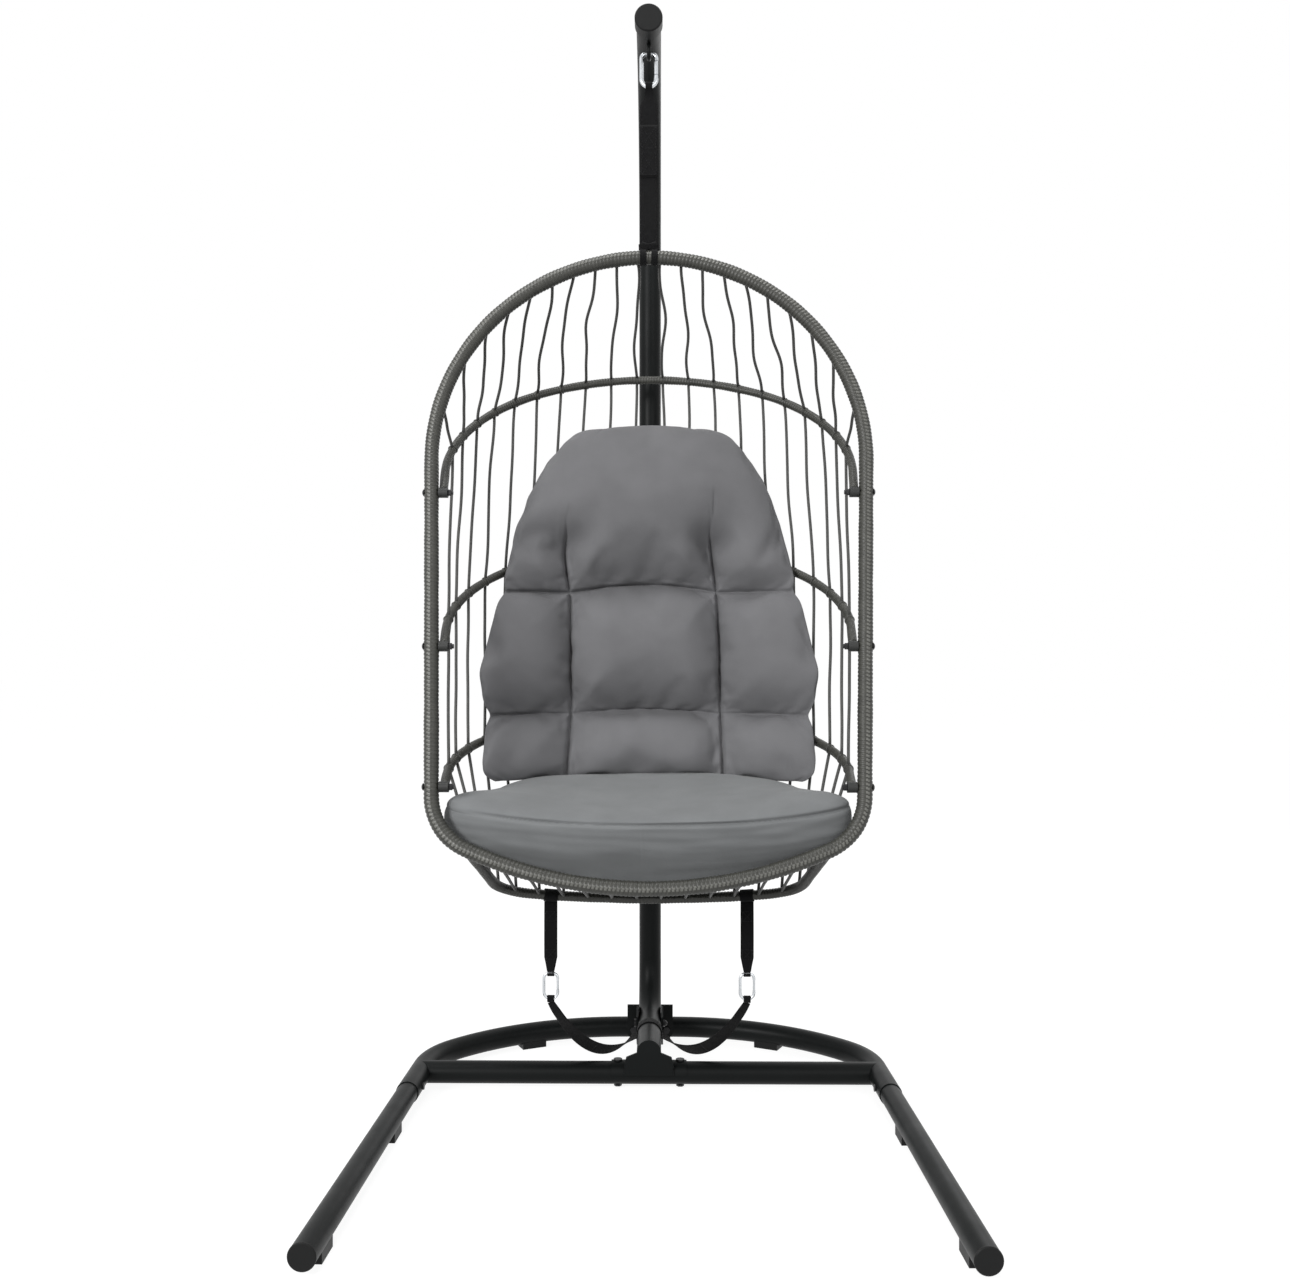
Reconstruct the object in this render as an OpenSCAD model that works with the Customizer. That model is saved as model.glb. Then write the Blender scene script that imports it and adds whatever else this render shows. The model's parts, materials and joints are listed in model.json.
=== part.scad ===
// Hanging egg chair: a C-shaped stand with a roped, cushioned basket.
// Millimetres, Z up. The front faces -Y. Origin: on the floor, under the middle of the base.

/* [Base] */
// Depth of the base, from the leg caps to the back of the rear arc
base_depth = 1020; // [960:5:1100]
// Outer radius of the rear arc and crossbar tubes
base_tube_r = 20.5; // [20:0.5:23]
// Height of the base tubes' axis above the floor
base_axis_z = 28; // [27:0.5:34]
// Half the straight stretch in the middle of the rear arc
arc_flat = 50; // [30:5:70]
// Bend radius of the rear arc's tube axis
arc_r = 440; // [410:5:470]
// Angle that each half of the rear arc turns
arc_sweep = 50; // [46:1:54]
// Bend radius of the base's rear corners
base_corner_r = 165; // [140:5:190]
// How far each leg splays outwards, in degrees
leg_splay = 1.2; // [0:0.1:3]
// Y of the ends of the rear arc's stubs, where the legs plug in
stub_end_y = 90; // [60:5:120]
// Y of the crossbar's axis
crossbar_y = 204; // [190:2:216]
// Outer radius of the leg tubes
leg_r = 19; // [17:0.5:19.5]
// Length of leg tube inside the stub
leg_plug = 70; // [50:5:90]
// Thickness of a leg cap's flange
leg_cap_t = 4; // [3:0.5:6]
// Length of a foot pad
pad_len = 50; // [36:2:64]
// Width of a foot pad
pad_w = 30; // [26:1:34]

/* [Pole] */
// Outer radius of the pole tubes
pole_r = 22.5; // [21:0.5:24]
// Wall of the stand's tubes
tube_wall = 1.8; // [1.2:0.1:2.4]
// Y of the upright pole's axis
pole_y = 476; // [465:1:484]
// Bend radius at the pole's foot
foot_bend_r = 100; // [85:5:120]
// Height of the joint between the lower and the upper pole
pole_joint_z = 980; // [800:10:1100]
// Length of the upper pole's reduced end inside the lower pole
sleeve_len = 120; // [80:10:160]
// Height of the arm's axis
arm_z = 1947; // [1900:5:2000]
// Bend radius between the pole and the arm
arm_bend_r = 300; // [270:5:330]
// Straight end of the arm past its bend
arm_straight = 62; // [50:2:90]
// Outer radius of the arm's end cap
arm_cap_r = 25.2; // [24.5:0.1:27]
// Y of the hook and of the basket's hanging point
hook_y = 174; // [168:1:180]

/* [Hardware] */
// Plate thickness of the brackets
plate_t = 4; // [3:0.5:5]
// Half the width of the pole bracket on the rear arc
bracket_half_w = 47; // [44:1:54]
// Wall of the saddle over the crossbar
saddle_t = 2.5; // [2:0.5:4]
// Half the length of the saddle
saddle_half_len = 70; // [68:1:80]
// Shank radius of the stand's bolts
bolt_r = 4; // [3:0.5:4.5]
// Clearance round a bolt's shank
bolt_gap = 0.3; // [0.2:0.1:0.6]
// Centreline radius of the hanging eye
eye_r = 12; // [11:0.5:14]
// Rod radius of the hanging eye
eye_rod_r = 4; // [3.5:0.5:4]
// Outer width of the top carabiner
clip_w = 35; // [33:1:40]
// Outer height of the top carabiner
clip_h = 68; // [64:1:76]
// Rod radius of the top carabiner
clip_rod_r = 4; // [3.5:0.25:4]
// Outer width of a safety carabiner
safety_clip_w = 31; // [29:1:36]
// Outer height of a safety carabiner
safety_clip_h = 52; // [48:1:60]
// Rod radius of a safety carabiner
safety_rod_r = 2.75; // [2.5:0.25:3]

/* [Webbing] */
// Width of the hanging strap
sling_w = 33; // [28:1:40]
// Thickness of the hanging strap's two layers together
sling_t = 4; // [3:0.5:5]
// Distance from the carabiner's lower bow to the rim's tube axis
sling_drop = 315; // [290:1:330]
// Width of the safety straps
strap_w = 25; // [20:1:28]
// Thickness of the safety straps
strap_t = 1.8; // [1.4:0.2:2.4]
// Distance along the seat frame from its middle to a safety strap
strap_place = 182; // [160:2:190]
// Length of an upper safety strap below the seat frame
upper_strap_len = 136; // [100:2:150]
// Y of the lower strap's loop round the pole's foot
foot_loop_y = 300; // [270:5:320]

/* [Basket frame] */
// Radius of the rim's arch, at the tube axis
rim_arch_r = 383.5; // [370:0.5:395]
// Length of the rim's side, between the arch and the lower corner
rim_side_len = 594; // [560:2:620]
// Inward lean of each side towards the bottom, in degrees
rim_side_lean = 2.5; // [1.5:0.1:3.5]
// Radius of the rim's lower corners
rim_corner_r = 100; // [85:5:115]
// Radius of the rim's bowed bottom
rim_bottom_r = 737; // [700:5:800]
// Backward lean of the rim's plane from the vertical, in degrees
rim_lean = 13.7; // [12:0.1:15]
// Outer radius of the rim's steel tube
rim_tube_r = 9.5; // [8:0.5:11]
// Thickness of the wicker wrap on the rim
rim_wrap_t = 3; // [2:0.25:4]
// Distance down from the rim's top to the upper hoop's bolts
upper_hoop_drop = 460; // [450:2:470]
// Distance down from the rim's top to the middle hoop's bolts
middle_hoop_drop = 738; // [728:2:748]
// Distance down from the rim's top to the lower hoop's bolts
lower_hoop_drop = 978; // [968:2:984]
// Rise of the upper hoop above the horizontal, in degrees
upper_hoop_rise = 40; // [37:0.5:43]
// Rise of the middle hoop above the horizontal, in degrees
middle_hoop_rise = 28.5; // [26:0.5:31]
// Rise of the lower hoop above the horizontal, in degrees
lower_hoop_rise = 14; // [12:0.5:16]
// Depth of a hoop, from its bolts to its apex
hoop_depth = 420; // [400:2:430]
// Radius of a hoop's shoulders
hoop_shoulder_r = 310; // [290:5:325]
// Outer radius of the hoops' steel tube
hoop_tube_r = 6; // [5:0.5:7]
// Thickness of the wrap on the hoops and the seat frame
hoop_wrap_t = 1.75; // [1:0.25:2.5]
// Radius of the hoop bolts
hoop_bolt_r = 3; // [2.5:0.25:3.25]
// Depth of the seat frame behind the rim
seat_depth = 303; // [280:1:320]
// Fall of the seat frame below the horizontal, in degrees
seat_fall = 26.5; // [22:0.5:30]

/* [Cords] */
// Radius of the cords
cord_r = 2.5; // [1.5:0.25:2.75]
// Cords on each side of the middle
cord_pairs = 10; // [6:1:10]
// Cords on each side that go on under the seat
seat_pairs = 6; // [3:1:6]
// Spacing of the cords on the rim's arch, measured across the chair
arch_pitch = 39; // [36:0.5:40]
// Spacing of the cords along the upper hoop
upper_hoop_pitch = 52; // [46:1:56]
// Spacing of the cords along the middle and lower hoops
low_hoop_pitch = 56; // [46:1:58]
// Spacing of the cords along the seat frame and the rim's bottom
seat_pitch = 45; // [40:1:46]

/* [Cushions] */
// Height of the back cushion
back_h = 672; // [650:2:680]
// Height of the back cushion's foot above the rim's bottom
back_foot = 149; // [148:0.5:160]
// Thickness of the back cushion in the middle
back_t = 112; // [90:2:124]
// Half the width of the back cushion at its widest
back_half_w = 312; // [290:2:314]
// Depth of the sewn channels, as a share of the crown
channel_share = 0.42; // [0.2:0.02:0.5]
// Half the width of the seat cushion
seat_half_w = 336; // [310:2:340]
// Depth of the seat cushion
seat_d = 334; // [320:2:340]
// Height of the seat cushion's front seam above the rim's bottom
seat_seam = 102; // [98:1:106]
// Rise of the seat cushion towards the back, in degrees
seat_tilt = 8.5; // [7:0.5:10]
// Lift of the seat cushion's front corners, where the rim turns them up
seat_lift = 28; // [0:2:34]
// Crown of the seat cushion above its seam
seat_crown = 20; // [14:1:28]
// Thickness of the seat cushion below its seam
seat_t = 114.5; // [108:0.5:120]
// Y of the seat cushion's front seam
seat_front_y = -95; // [-100:1:-90]

/* [Hidden] */
$fn = 48;
stand_colour = "#1c1f1f";
wrap_colour = "#55554f";
steel_colour = "#c8cacc";
bolt_colour = "#2a2c2d";
webbing_colour = "#141414";
cord_colour = "#4d4d4b";

// Joins between the lengths of a bent tube
joint_half = 0.6;
joint_gap = 0.25;
joint_lip = 0.04;
// Gap between a tube of the basket and the strip wound on it
wrap_gap = 0.12;

// Base: the rear arc's tube axis, from its middle to the end of a stub
arc_y = base_depth / 2 - base_tube_r;
corner_turn = 90 - leg_splay - arc_sweep;
corner_end_x = arc_flat + arc_r * sin(arc_sweep) + base_corner_r * (cos(leg_splay) - sin(arc_sweep));
corner_end_y = arc_y - arc_r * (1 - cos(arc_sweep)) - base_corner_r * (cos(arc_sweep) - sin(leg_splay));
stub_len = (corner_end_y - stub_end_y) / cos(leg_splay);
half_arc = [[arc_flat], [arc_r, arc_sweep], [base_corner_r, corner_turn], [stub_len]];
stub_wall = base_tube_r - leg_r - 0.2;
leg_end_y = leg_cap_t - base_depth / 2;
leg_len = (stub_end_y - leg_end_y) / cos(leg_splay) + leg_plug;
leg_screw_y = stub_end_y + leg_plug / 2;
pad_leg_y = [-40, -445];
pad_arc_turn = 26;
pad_arc_x = arc_flat + arc_r * sin(pad_arc_turn);
pad_arc_y = arc_y - arc_r * (1 - cos(pad_arc_turn));

// Pole: its foot lies on the crossbar's saddle
foot_z = base_axis_z + base_tube_r + saddle_t + pole_r;
foot_end_y = crossbar_y - 22;
foot_len = pole_y - foot_bend_r - foot_end_y;
arm_y = pole_y - arm_bend_r;
arm_end_y = arm_y - arm_straight;
joint_bolt_z = pole_joint_z - sleeve_len / 3;
cross_bolt_y = pole_y - foot_bend_r - 8;
cross_bolt_z = foot_z - 2;
bracket_bolt_x = 34;
crossbar_bolt_x = 58;

// Suspension: the carabiner's top bar rolls in the bottom of the eye
eye_z = arm_z - pole_r - eye_r + eye_rod_r - 0.5;
clip_gap = 0.3;
swing_z = eye_z - eye_r + eye_rod_r + clip_rod_r + clip_gap;
clip_bow_z = swing_z - clip_h + 2 * clip_rod_r;
rim_top_z = clip_bow_z - sling_drop;
loop_gap = 2.1;
// Half the length of a carabiner's top bar, and the width of webbing that goes through one
clip_bar_half = 4;
loop_w = 12;
// Sag of the lower strap's arms below the straight line
strap_sag = 58;

// Basket: the rim's outline in its own plane, from the middle of its bottom
rim_wrap_r = rim_tube_r + rim_wrap_t;
arch_turn = 90 + rim_side_lean;
side_x = rim_arch_r * cos(rim_side_lean);
bottom_sweep = asin((side_x - rim_side_len * sin(rim_side_lean) - rim_corner_r * cos(rim_side_lean))
    / (rim_bottom_r - rim_corner_r));
corner_sweep = 90 - rim_side_lean - bottom_sweep;
half_rim = [[rim_bottom_r, bottom_sweep], [rim_corner_r, corner_sweep], [rim_side_len],
    [rim_arch_r, arch_turn]];
arch_drop = rim_arch_r * (1 + sin(rim_side_lean));
rim_drop = arch_drop + rim_side_len * cos(rim_side_lean)
    + rim_corner_r * (cos(bottom_sweep) - sin(rim_side_lean)) + rim_bottom_r * (1 - cos(bottom_sweep));
rim_bottom_z = rim_top_z - rim_drop * cos(rim_lean);
rim_bottom_y = hook_y - rim_drop * sin(rim_lean);

// Half of the rim's width, at the tube axis, at a distance down one side
function rim_half(drop) = side_x - (drop - arch_drop) * tan(rim_side_lean);
// A point of the rim's plane, from its X and its distance down from the top
function in_rim(x, drop) = [x, hook_y - drop * sin(rim_lean), rim_top_z - drop * cos(rim_lean)];

// Hoops: each has a bolted eye at both ends
hoop_drop = [upper_hoop_drop, middle_hoop_drop, lower_hoop_drop];
hoop_rise = [upper_hoop_rise, middle_hoop_rise, lower_hoop_rise];
hoop_wrap_r = hoop_tube_r + hoop_wrap_t;
eye_half = 8;
eye_outer_r = 9;
eye_gap = 0.4;
function hoop_half(k) = rim_half(hoop_drop[k]) - rim_wrap_r - eye_gap - eye_half;
hoop_apex_turn = 30;
hoop_shoulder_turn = 65;
hoop_end_turn = hoop_apex_turn + hoop_shoulder_turn;
shoulder_x = hoop_shoulder_r * (sin(hoop_end_turn) - sin(hoop_apex_turn));
shoulder_drop = hoop_shoulder_r * (cos(hoop_apex_turn) - cos(hoop_end_turn));
apex_share = (1 - cos(hoop_apex_turn)) / sin(hoop_apex_turn);
// Length of a hoop's straight end, and the radius of its apex, so that it reaches its bolts
function hoop_end(k) = (hoop_depth - shoulder_drop - apex_share * (hoop_half(k) - shoulder_x))
    / (sin(hoop_end_turn) - apex_share * cos(hoop_end_turn));
function hoop_apex_r(k) = (hoop_half(k) - shoulder_x - hoop_end(k) * cos(hoop_end_turn)) / sin(hoop_apex_turn);
function half_hoop(k) =
    [[hoop_apex_r(k), hoop_apex_turn], [hoop_shoulder_r, hoop_shoulder_turn], [hoop_end(k)]];
function hoop_pivot(k) = in_rim(0, hoop_drop[k]);

// Seat frame: a shallow U behind the rim's lower corners
seat_bow_r = 770;
seat_bow_turn = 16;
seat_corner_r = 90;
seat_corner_turn = 68;
seat_turn = seat_bow_turn + seat_corner_turn;
seat_side_len = (seat_depth - seat_bow_r * (1 - cos(seat_bow_turn))
    - seat_corner_r * (cos(seat_bow_turn) - cos(seat_turn))) / sin(seat_turn);
half_seat = [[seat_bow_r, seat_bow_turn], [seat_corner_r, seat_corner_turn], [seat_side_len]];
seat_drop = rim_drop - rim_bottom_r * (1 - cos(bottom_sweep)) - 3;

// Point [x, distance turned away, heading] at a length along a run of straights and bends
function along(steps, len, k = 0, x = 0, d = 0, h = 0) =
    let(step = steps[k], bends = len(step) == 2)
    let(full = bends ? step[0] * step[1] * PI / 180 : step[0])
    let(part = min(len, full), turn = bends ? part / step[0] * 180 / PI : 0)
    let(nx = bends ? x + step[0] * (sin(h + turn) - sin(h)) : x + part * cos(h))
    let(nd = bends ? d + step[0] * (cos(h) - cos(h + turn)) : d + part * sin(h))
    len <= full || k == len(steps) - 1 ? [nx, nd, h + turn] : along(steps, len - full, k + 1, nx, nd, h + turn);

// Point and direction on the rim's arch, as [point, tangent], at an angle from its top
function on_arch(a) =
    [in_rim(rim_arch_r * sin(a), rim_arch_r * (1 - cos(a))), tilt(cos(a), -sin(a), 90 - rim_lean)];
// The same on the other tubes, at a length from the middle of each
function on_bottom(s) = let(p = along(half_rim, s))
    [in_rim(p[0], rim_drop - p[1]), tilt(cos(p[2]), sin(p[2]), 90 - rim_lean)];
function on_hoop(k, s) = let(p = along(half_hoop(k), s), d = hoop_depth - p[1])
    [hoop_pivot(k) + tilt(p[0], d, hoop_rise[k]), tilt(cos(p[2]), -sin(p[2]), hoop_rise[k])];
function on_seat(s) = let(p = along(half_seat, s), d = seat_depth - p[1])
    [in_rim(0, seat_drop) + tilt(p[0], d, -seat_fall), tilt(cos(p[2]), -sin(p[2]), -seat_fall)];
// A vector in a plane through the X axis that rises towards the back
function tilt(x, d, rise) = [x, d * cos(rise), d * sin(rise)];
function mirrored(p) = [-p[0], p[1], p[2]];

// Back cushion: its half-width up its height, as a share of its widest, and its sewn channels
back_outline = [[0, 0.95], [0.06, 0.97], [0.18, 0.965], [0.3, 1], [0.38, 0.965], [0.46, 0.93], [0.55, 0.885],
    [0.64, 0.845], [0.72, 0.8], [0.79, 0.755], [0.85, 0.7], [0.9, 0.64], [0.94, 0.575], [0.97, 0.515],
    [1, 0.43]];
channel_x = 143;
channel_rows = [0.178, 0.523];
channel_top = 0.716;
channel_half = 24;
back_clear = hoop_wrap_r + 0.5;
back_edge_t = 12;
back_cols = 20;
back_rows = 26;
// How far the basket's back comes forward below the lower hoop, for each unit of height
below_slope = 0.62;

// Seat cushion: half its outline from the middle of its front to the middle of its back,
// as shares of its half-width and of its depth
seat_outline = [[0, 0], [0.26, 0.003], [0.5, 0.018], [0.72, 0.05], [0.9, 0.1], [0.98, 0.16], [0.985, 0.235],
    [0.94, 0.33], [0.885, 0.44], [0.835, 0.56], [0.775, 0.7], [0.68, 0.83], [0.52, 0.93], [0.28, 0.985],
    [0, 1]];
// Its side below the top seam, as shares of its plan and of its thickness
seat_side = [[1, 0], [0.975, 0.07], [0.93, 0.17], [0.875, 0.29], [0.84, 0.42], [0.8, 0.6], [0.73, 0.78],
    [0.63, 0.91], [0.52, 0.97], [0.36, 1]];
// How much of the narrowing of a ring its front and its back take up
seat_keep_front = 0.35;
seat_keep_back = 0.6;
seat_top_rings = 6;
seat_mid_y = seat_front_y + seat_d / 2;
seat_mid_z = rim_bottom_z + seat_seam + seat_d / 2 * sin(seat_tilt);
// The lift of the corners fades out over this stretch of the cushion's depth, from its middle
seat_lift_back = 40;
seat_lift_fade = 100;

// ---- Shared shapes ----

// Turns +Z to point along a vector
module aim(v) {
    rotate([0, acos(v[2] / norm(v)), atan2(v[1], v[0])]) children();
}

// A tube along +Z, or a rod where the wall is 0
module tube(length, r, wall) {
    difference() {
        cylinder(h = length, r = r);
        if (wall > 0) translate([0, 0, -1]) cylinder(h = length + 2, r = r - wall);
    }
}

// A thin ring that joins two lengths of a run, which stop just short of each other inside it
module joint_ring(r, wall) {
    translate([0, 0, -joint_half]) tube(2 * joint_half, r + joint_lip, wall > 0 ? wall + 2 * joint_lip : 0);
}

// A bend that starts along +Z and turns towards +X
module bend(radius, angle, r, wall) {
    skip = joint_gap / radius * 180 / PI;
    translate([radius, 0, 0]) rotate([90, 0, 180]) rotate([0, 0, skip])
        rotate_extrude(angle = angle - 2 * skip, $fn = 96) translate([radius, 0]) difference() {
            circle(r = r);
            if (wall > 0) circle(r = r - wall);
        }
}

// A tube along a run of straights, [length], and bends, [radius, angle]
module bent_tube(steps, r, wall = 0, k = 0) {
    if (k < len(steps)) {
        step = steps[k];
        if (k > 0) joint_ring(r, wall);
        if (len(step) == 1) {
            translate([0, 0, joint_gap]) tube(step[0] - 2 * joint_gap, r, wall);
            translate([0, 0, step[0]]) bent_tube(steps, r, wall, k + 1);
        } else {
            bend(step[0], step[1], r, wall);
            translate([step[0], 0, 0]) rotate([0, step[1], 0]) translate([-step[0], 0, 0])
                bent_tube(steps, r, wall, k + 1);
        }
    }
}

// A half run and its mirror image
module both_halves() {
    children();
    mirror([1, 0, 0]) children();
}

// Starts along +X and turns towards -Y, for runs that lie flat
module flat_run() {
    rotate([-90, 0, 0]) rotate([0, 90, 0]) children();
}

// Starts along +X and turns towards +Z, for runs that stand up
module upright_run() {
    rotate([0, 90, 0]) rotate([0, 0, 180]) children();
}

// A hexagon nut or bolt head on the XY plane
module hexagon(across, height) {
    cylinder(h = height, r = across / sqrt(3), $fn = 6);
}

// A domed nut: hexagon, collar and cap
module domed_nut(shank_r) {
    hexagon(shank_r * 3.2, shank_r * 0.9);
    translate([0, 0, shank_r * 0.9]) intersection() {
        cylinder(h = shank_r * 1.3, r = shank_r * 1.3);
        sphere(r = shank_r * 1.3);
    }
}

// ---- Base ----

module base_arc(r, wall) {
    translate([0, arc_y, base_axis_z]) {
        both_halves() flat_run() bent_tube(half_arc, r, wall);
        flat_run() joint_ring(r, wall);
    }
}

// X of the base's side at a given Y
function leg_x(y) = corner_end_x + (corner_end_y - y) * tan(leg_splay);

// Places its children on a leg's axis at a given Y, with +Z running forwards
module on_leg(side, y) {
    translate([side * leg_x(y), y, base_axis_z]) rotate([90, 0, side * leg_splay]) children();
}

module leg_screw_holes(r) {
    for (side = [-1, 1])
        translate([side * leg_x(leg_screw_y), leg_screw_y, base_axis_z]) rotate([0, -90 * side, 0]) {
            cylinder(h = base_tube_r + 20, r = r);
        }
}

module rear_arc_tube() {
    color(stand_colour) difference() {
        base_arc(base_tube_r, stub_wall);
        leg_screw_holes(bolt_r - 1 + bolt_gap);
        for (side = [-1, 1]) {
            translate([side * bracket_bolt_x, arc_y, base_axis_z])
                cylinder(h = 4 * base_tube_r, r = bolt_r + bolt_gap, center = true);
            translate([side * bracket_bolt_x, arc_y, base_axis_z]) rotate([90, 0, 0])
                cylinder(h = 4 * base_tube_r, r = bolt_r - 1 + bolt_gap, center = true);
        }
    }
}

module crossbar_tube() {
    half = leg_x(crossbar_y);
    color(stand_colour) difference() {
        translate([-half, crossbar_y, base_axis_z]) rotate([0, 90, 0])
            tube(2 * half, base_tube_r, tube_wall);
        for (side = [-1, 1]) {
            on_leg(side, crossbar_y + 2 * base_tube_r) cylinder(h = 4 * base_tube_r, r = base_tube_r);
            translate([side * crossbar_bolt_x, crossbar_y, base_axis_z])
                cylinder(h = 4 * base_tube_r, r = bolt_r + bolt_gap, center = true);
        }
    }
}

module leg_tube(side) {
    start_y = stub_end_y + leg_plug * cos(leg_splay);
    color(stand_colour) difference() {
        on_leg(side, start_y) tube(leg_len, leg_r, tube_wall);
        leg_screw_holes(bolt_r - 1 + bolt_gap);
    }
}

module left_leg_tube() {
    leg_tube(-1);
}

module right_leg_tube() {
    leg_tube(1);
}

// A rounded flange on each leg's end, with a plug inside the tube
module leg_end_caps() {
    color("#151616") for (side = [-1, 1]) on_leg(side, leg_end_y) {
        rotate_extrude() polygon([[0, 0], [leg_r + 0.4, 0], [leg_r + 0.4, leg_cap_t - 1.5],
            [leg_r - 1, leg_cap_t], [0, leg_cap_t]]);
        translate([0, 0, -16]) cylinder(h = 16, r = leg_r - tube_wall - 0.1);
    }
}

// A button-headed screw from inside each stub into the leg
module leg_screws() {
    shank = bolt_r - 1;
    color(bolt_colour) for (side = [-1, 1])
        translate([side * leg_x(leg_screw_y), leg_screw_y, base_axis_z]) rotate([0, -90 * side, 0]) {
            translate([0, 0, leg_r - 8]) cylinder(h = base_tube_r - leg_r + 8.3, r = shank);
            translate([0, 0, base_tube_r + 0.2]) cylinder(h = 2.5, r = 2 * shank);
        }
}

// A pad with a saddle for the tube above it; its length runs along X
module foot_pad() {
    translate([-pad_len / 2, -pad_w / 2, 0]) cube([pad_len, pad_w, base_axis_z - 9]);
}

module foot_pads() {
    color("#121313") difference() {
        for (side = [-1, 1]) {
            translate([side * pad_arc_x, pad_arc_y, 0]) rotate([0, 0, -side * pad_arc_turn]) foot_pad();
            for (y = pad_leg_y) translate([side * leg_x(y), y, 0])
                rotate([0, 0, side * leg_splay + 90]) foot_pad();
        }
        base_arc(base_tube_r + 0.05, 0);
        for (side = [-1, 1]) on_leg(side, stub_end_y) cylinder(h = leg_len, r = leg_r + 0.05);
    }
}

// ---- Pole ----

module lower_pole(r, wall) {
    steps = [[foot_len], [foot_bend_r, 90], [pole_joint_z - foot_z - foot_bend_r]];
    translate([0, foot_end_y, foot_z]) rotate([0, -90, -90]) bent_tube(steps, r, wall);
}

module lower_pole_tube() {
    color(stand_colour) difference() {
        lower_pole(pole_r, tube_wall);
        translate([0, pole_y, joint_bolt_z]) rotate([90, 0, 0])
            cylinder(h = 4 * pole_r, r = bolt_r + bolt_gap, center = true);
        translate([0, cross_bolt_y, cross_bolt_z]) rotate([0, 90, 0])
            cylinder(h = 4 * pole_r, r = bolt_r + bolt_gap, center = true);
    }
}

module upper_pole_tube() {
    sleeve_r = pole_r - tube_wall - 0.2;
    steps = [[arm_z - arm_bend_r - pole_joint_z], [arm_bend_r, 90], [arm_straight]];
    color(stand_colour) difference() {
        translate([0, pole_y, pole_joint_z]) union() {
            rotate([0, 0, -90]) bent_tube(steps, pole_r, tube_wall);
            translate([0, 0, -sleeve_len]) tube(sleeve_len, sleeve_r, tube_wall);
            difference() {
                cylinder(h = 4, r = pole_r);
                translate([0, 0, -1]) cylinder(h = 6, r = sleeve_r - tube_wall);
            }
        }
        translate([0, pole_y, joint_bolt_z]) rotate([90, 0, 0])
            cylinder(h = 4 * pole_r, r = bolt_r + bolt_gap, center = true);
    }
}

// One bolt through the sleeve joint, from the back, with a domed nut in front
module pole_joint_bolt() {
    color(bolt_colour) translate([0, pole_y, joint_bolt_z]) rotate([90, 0, 0]) {
        translate([0, 0, -pole_r - 0.3]) cylinder(h = 2 * pole_r + 0.6, r = bolt_r);
        translate([0, 0, -pole_r - 4.3]) cylinder(h = 4, r = 2 * bolt_r);
        translate([0, 0, pole_r + 0.3]) domed_nut(bolt_r);
    }
}

// A round cap over the arm's end
module arm_end_cap() {
    lip = 26;
    color("#151616") translate([0, arm_end_y, arm_z]) rotate([90, 0, 0]) difference() {
        translate([0, 0, -lip]) rotate_extrude() polygon([[0, 0], [arm_cap_r, 0], [arm_cap_r, lip + 1.5],
            [arm_cap_r - 2, lip + 4], [0, lip + 4]]);
        translate([0, 0, -lip - 1]) cylinder(h = lip + 1, r = pole_r + 0.1);
    }
}

// A front and a top flange on the rear arc, and two cheeks that hold the pole's foot
module pole_bracket() {
    front_y = arc_y - base_tube_r - plate_t;
    top_z = base_axis_z + base_tube_r;
    low_z = base_axis_z - 15;
    cheek_x = pole_r + 0.2;
    color(stand_colour) difference() {
        union() {
            translate([0, front_y + plate_t, 0]) rotate([90, 0, 0]) linear_extrude(plate_t) difference() {
                union() {
                    translate([-bracket_half_w, low_z + 10]) square([2 * bracket_half_w, top_z + 22 - low_z]);
                    translate([-bracket_half_w + 10, low_z]) square([2 * bracket_half_w - 20, 12]);
                    for (side = [-1, 1]) translate([side * (bracket_half_w - 10), low_z + 10]) circle(r = 10);
                }
                translate([-cheek_x, top_z + plate_t]) square([2 * cheek_x, 50]);
            }
            translate([-bracket_half_w, front_y, top_z]) cube([2 * bracket_half_w, base_tube_r + 18, plate_t]);
            for (side = [-1, 1]) translate([side > 0 ? cheek_x : -cheek_x - plate_t, 0, 0])
                rotate([90, 0, 90]) linear_extrude(plate_t) polygon([[front_y + 1, low_z + 8],
                    [front_y + 1, top_z + 24], [cross_bolt_y + 30, foot_z + 24],
                    [cross_bolt_y - 16, foot_z + 14], [cross_bolt_y - 16, foot_z - 16],
                    [cross_bolt_y + 24, low_z + 8]]);
        }
        for (side = [-1, 1]) {
            translate([side * bracket_bolt_x, arc_y, top_z])
                cylinder(h = 4 * plate_t, r = bolt_r + bolt_gap, center = true);
            translate([side * bracket_bolt_x, front_y, base_axis_z]) rotate([90, 0, 0])
                cylinder(h = 4 * plate_t, r = bolt_r - 1 + bolt_gap, center = true);
        }
        translate([0, cross_bolt_y, cross_bolt_z]) rotate([0, 90, 0])
            cylinder(h = 4 * pole_r, r = bolt_r + bolt_gap, center = true);
    }
}

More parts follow.
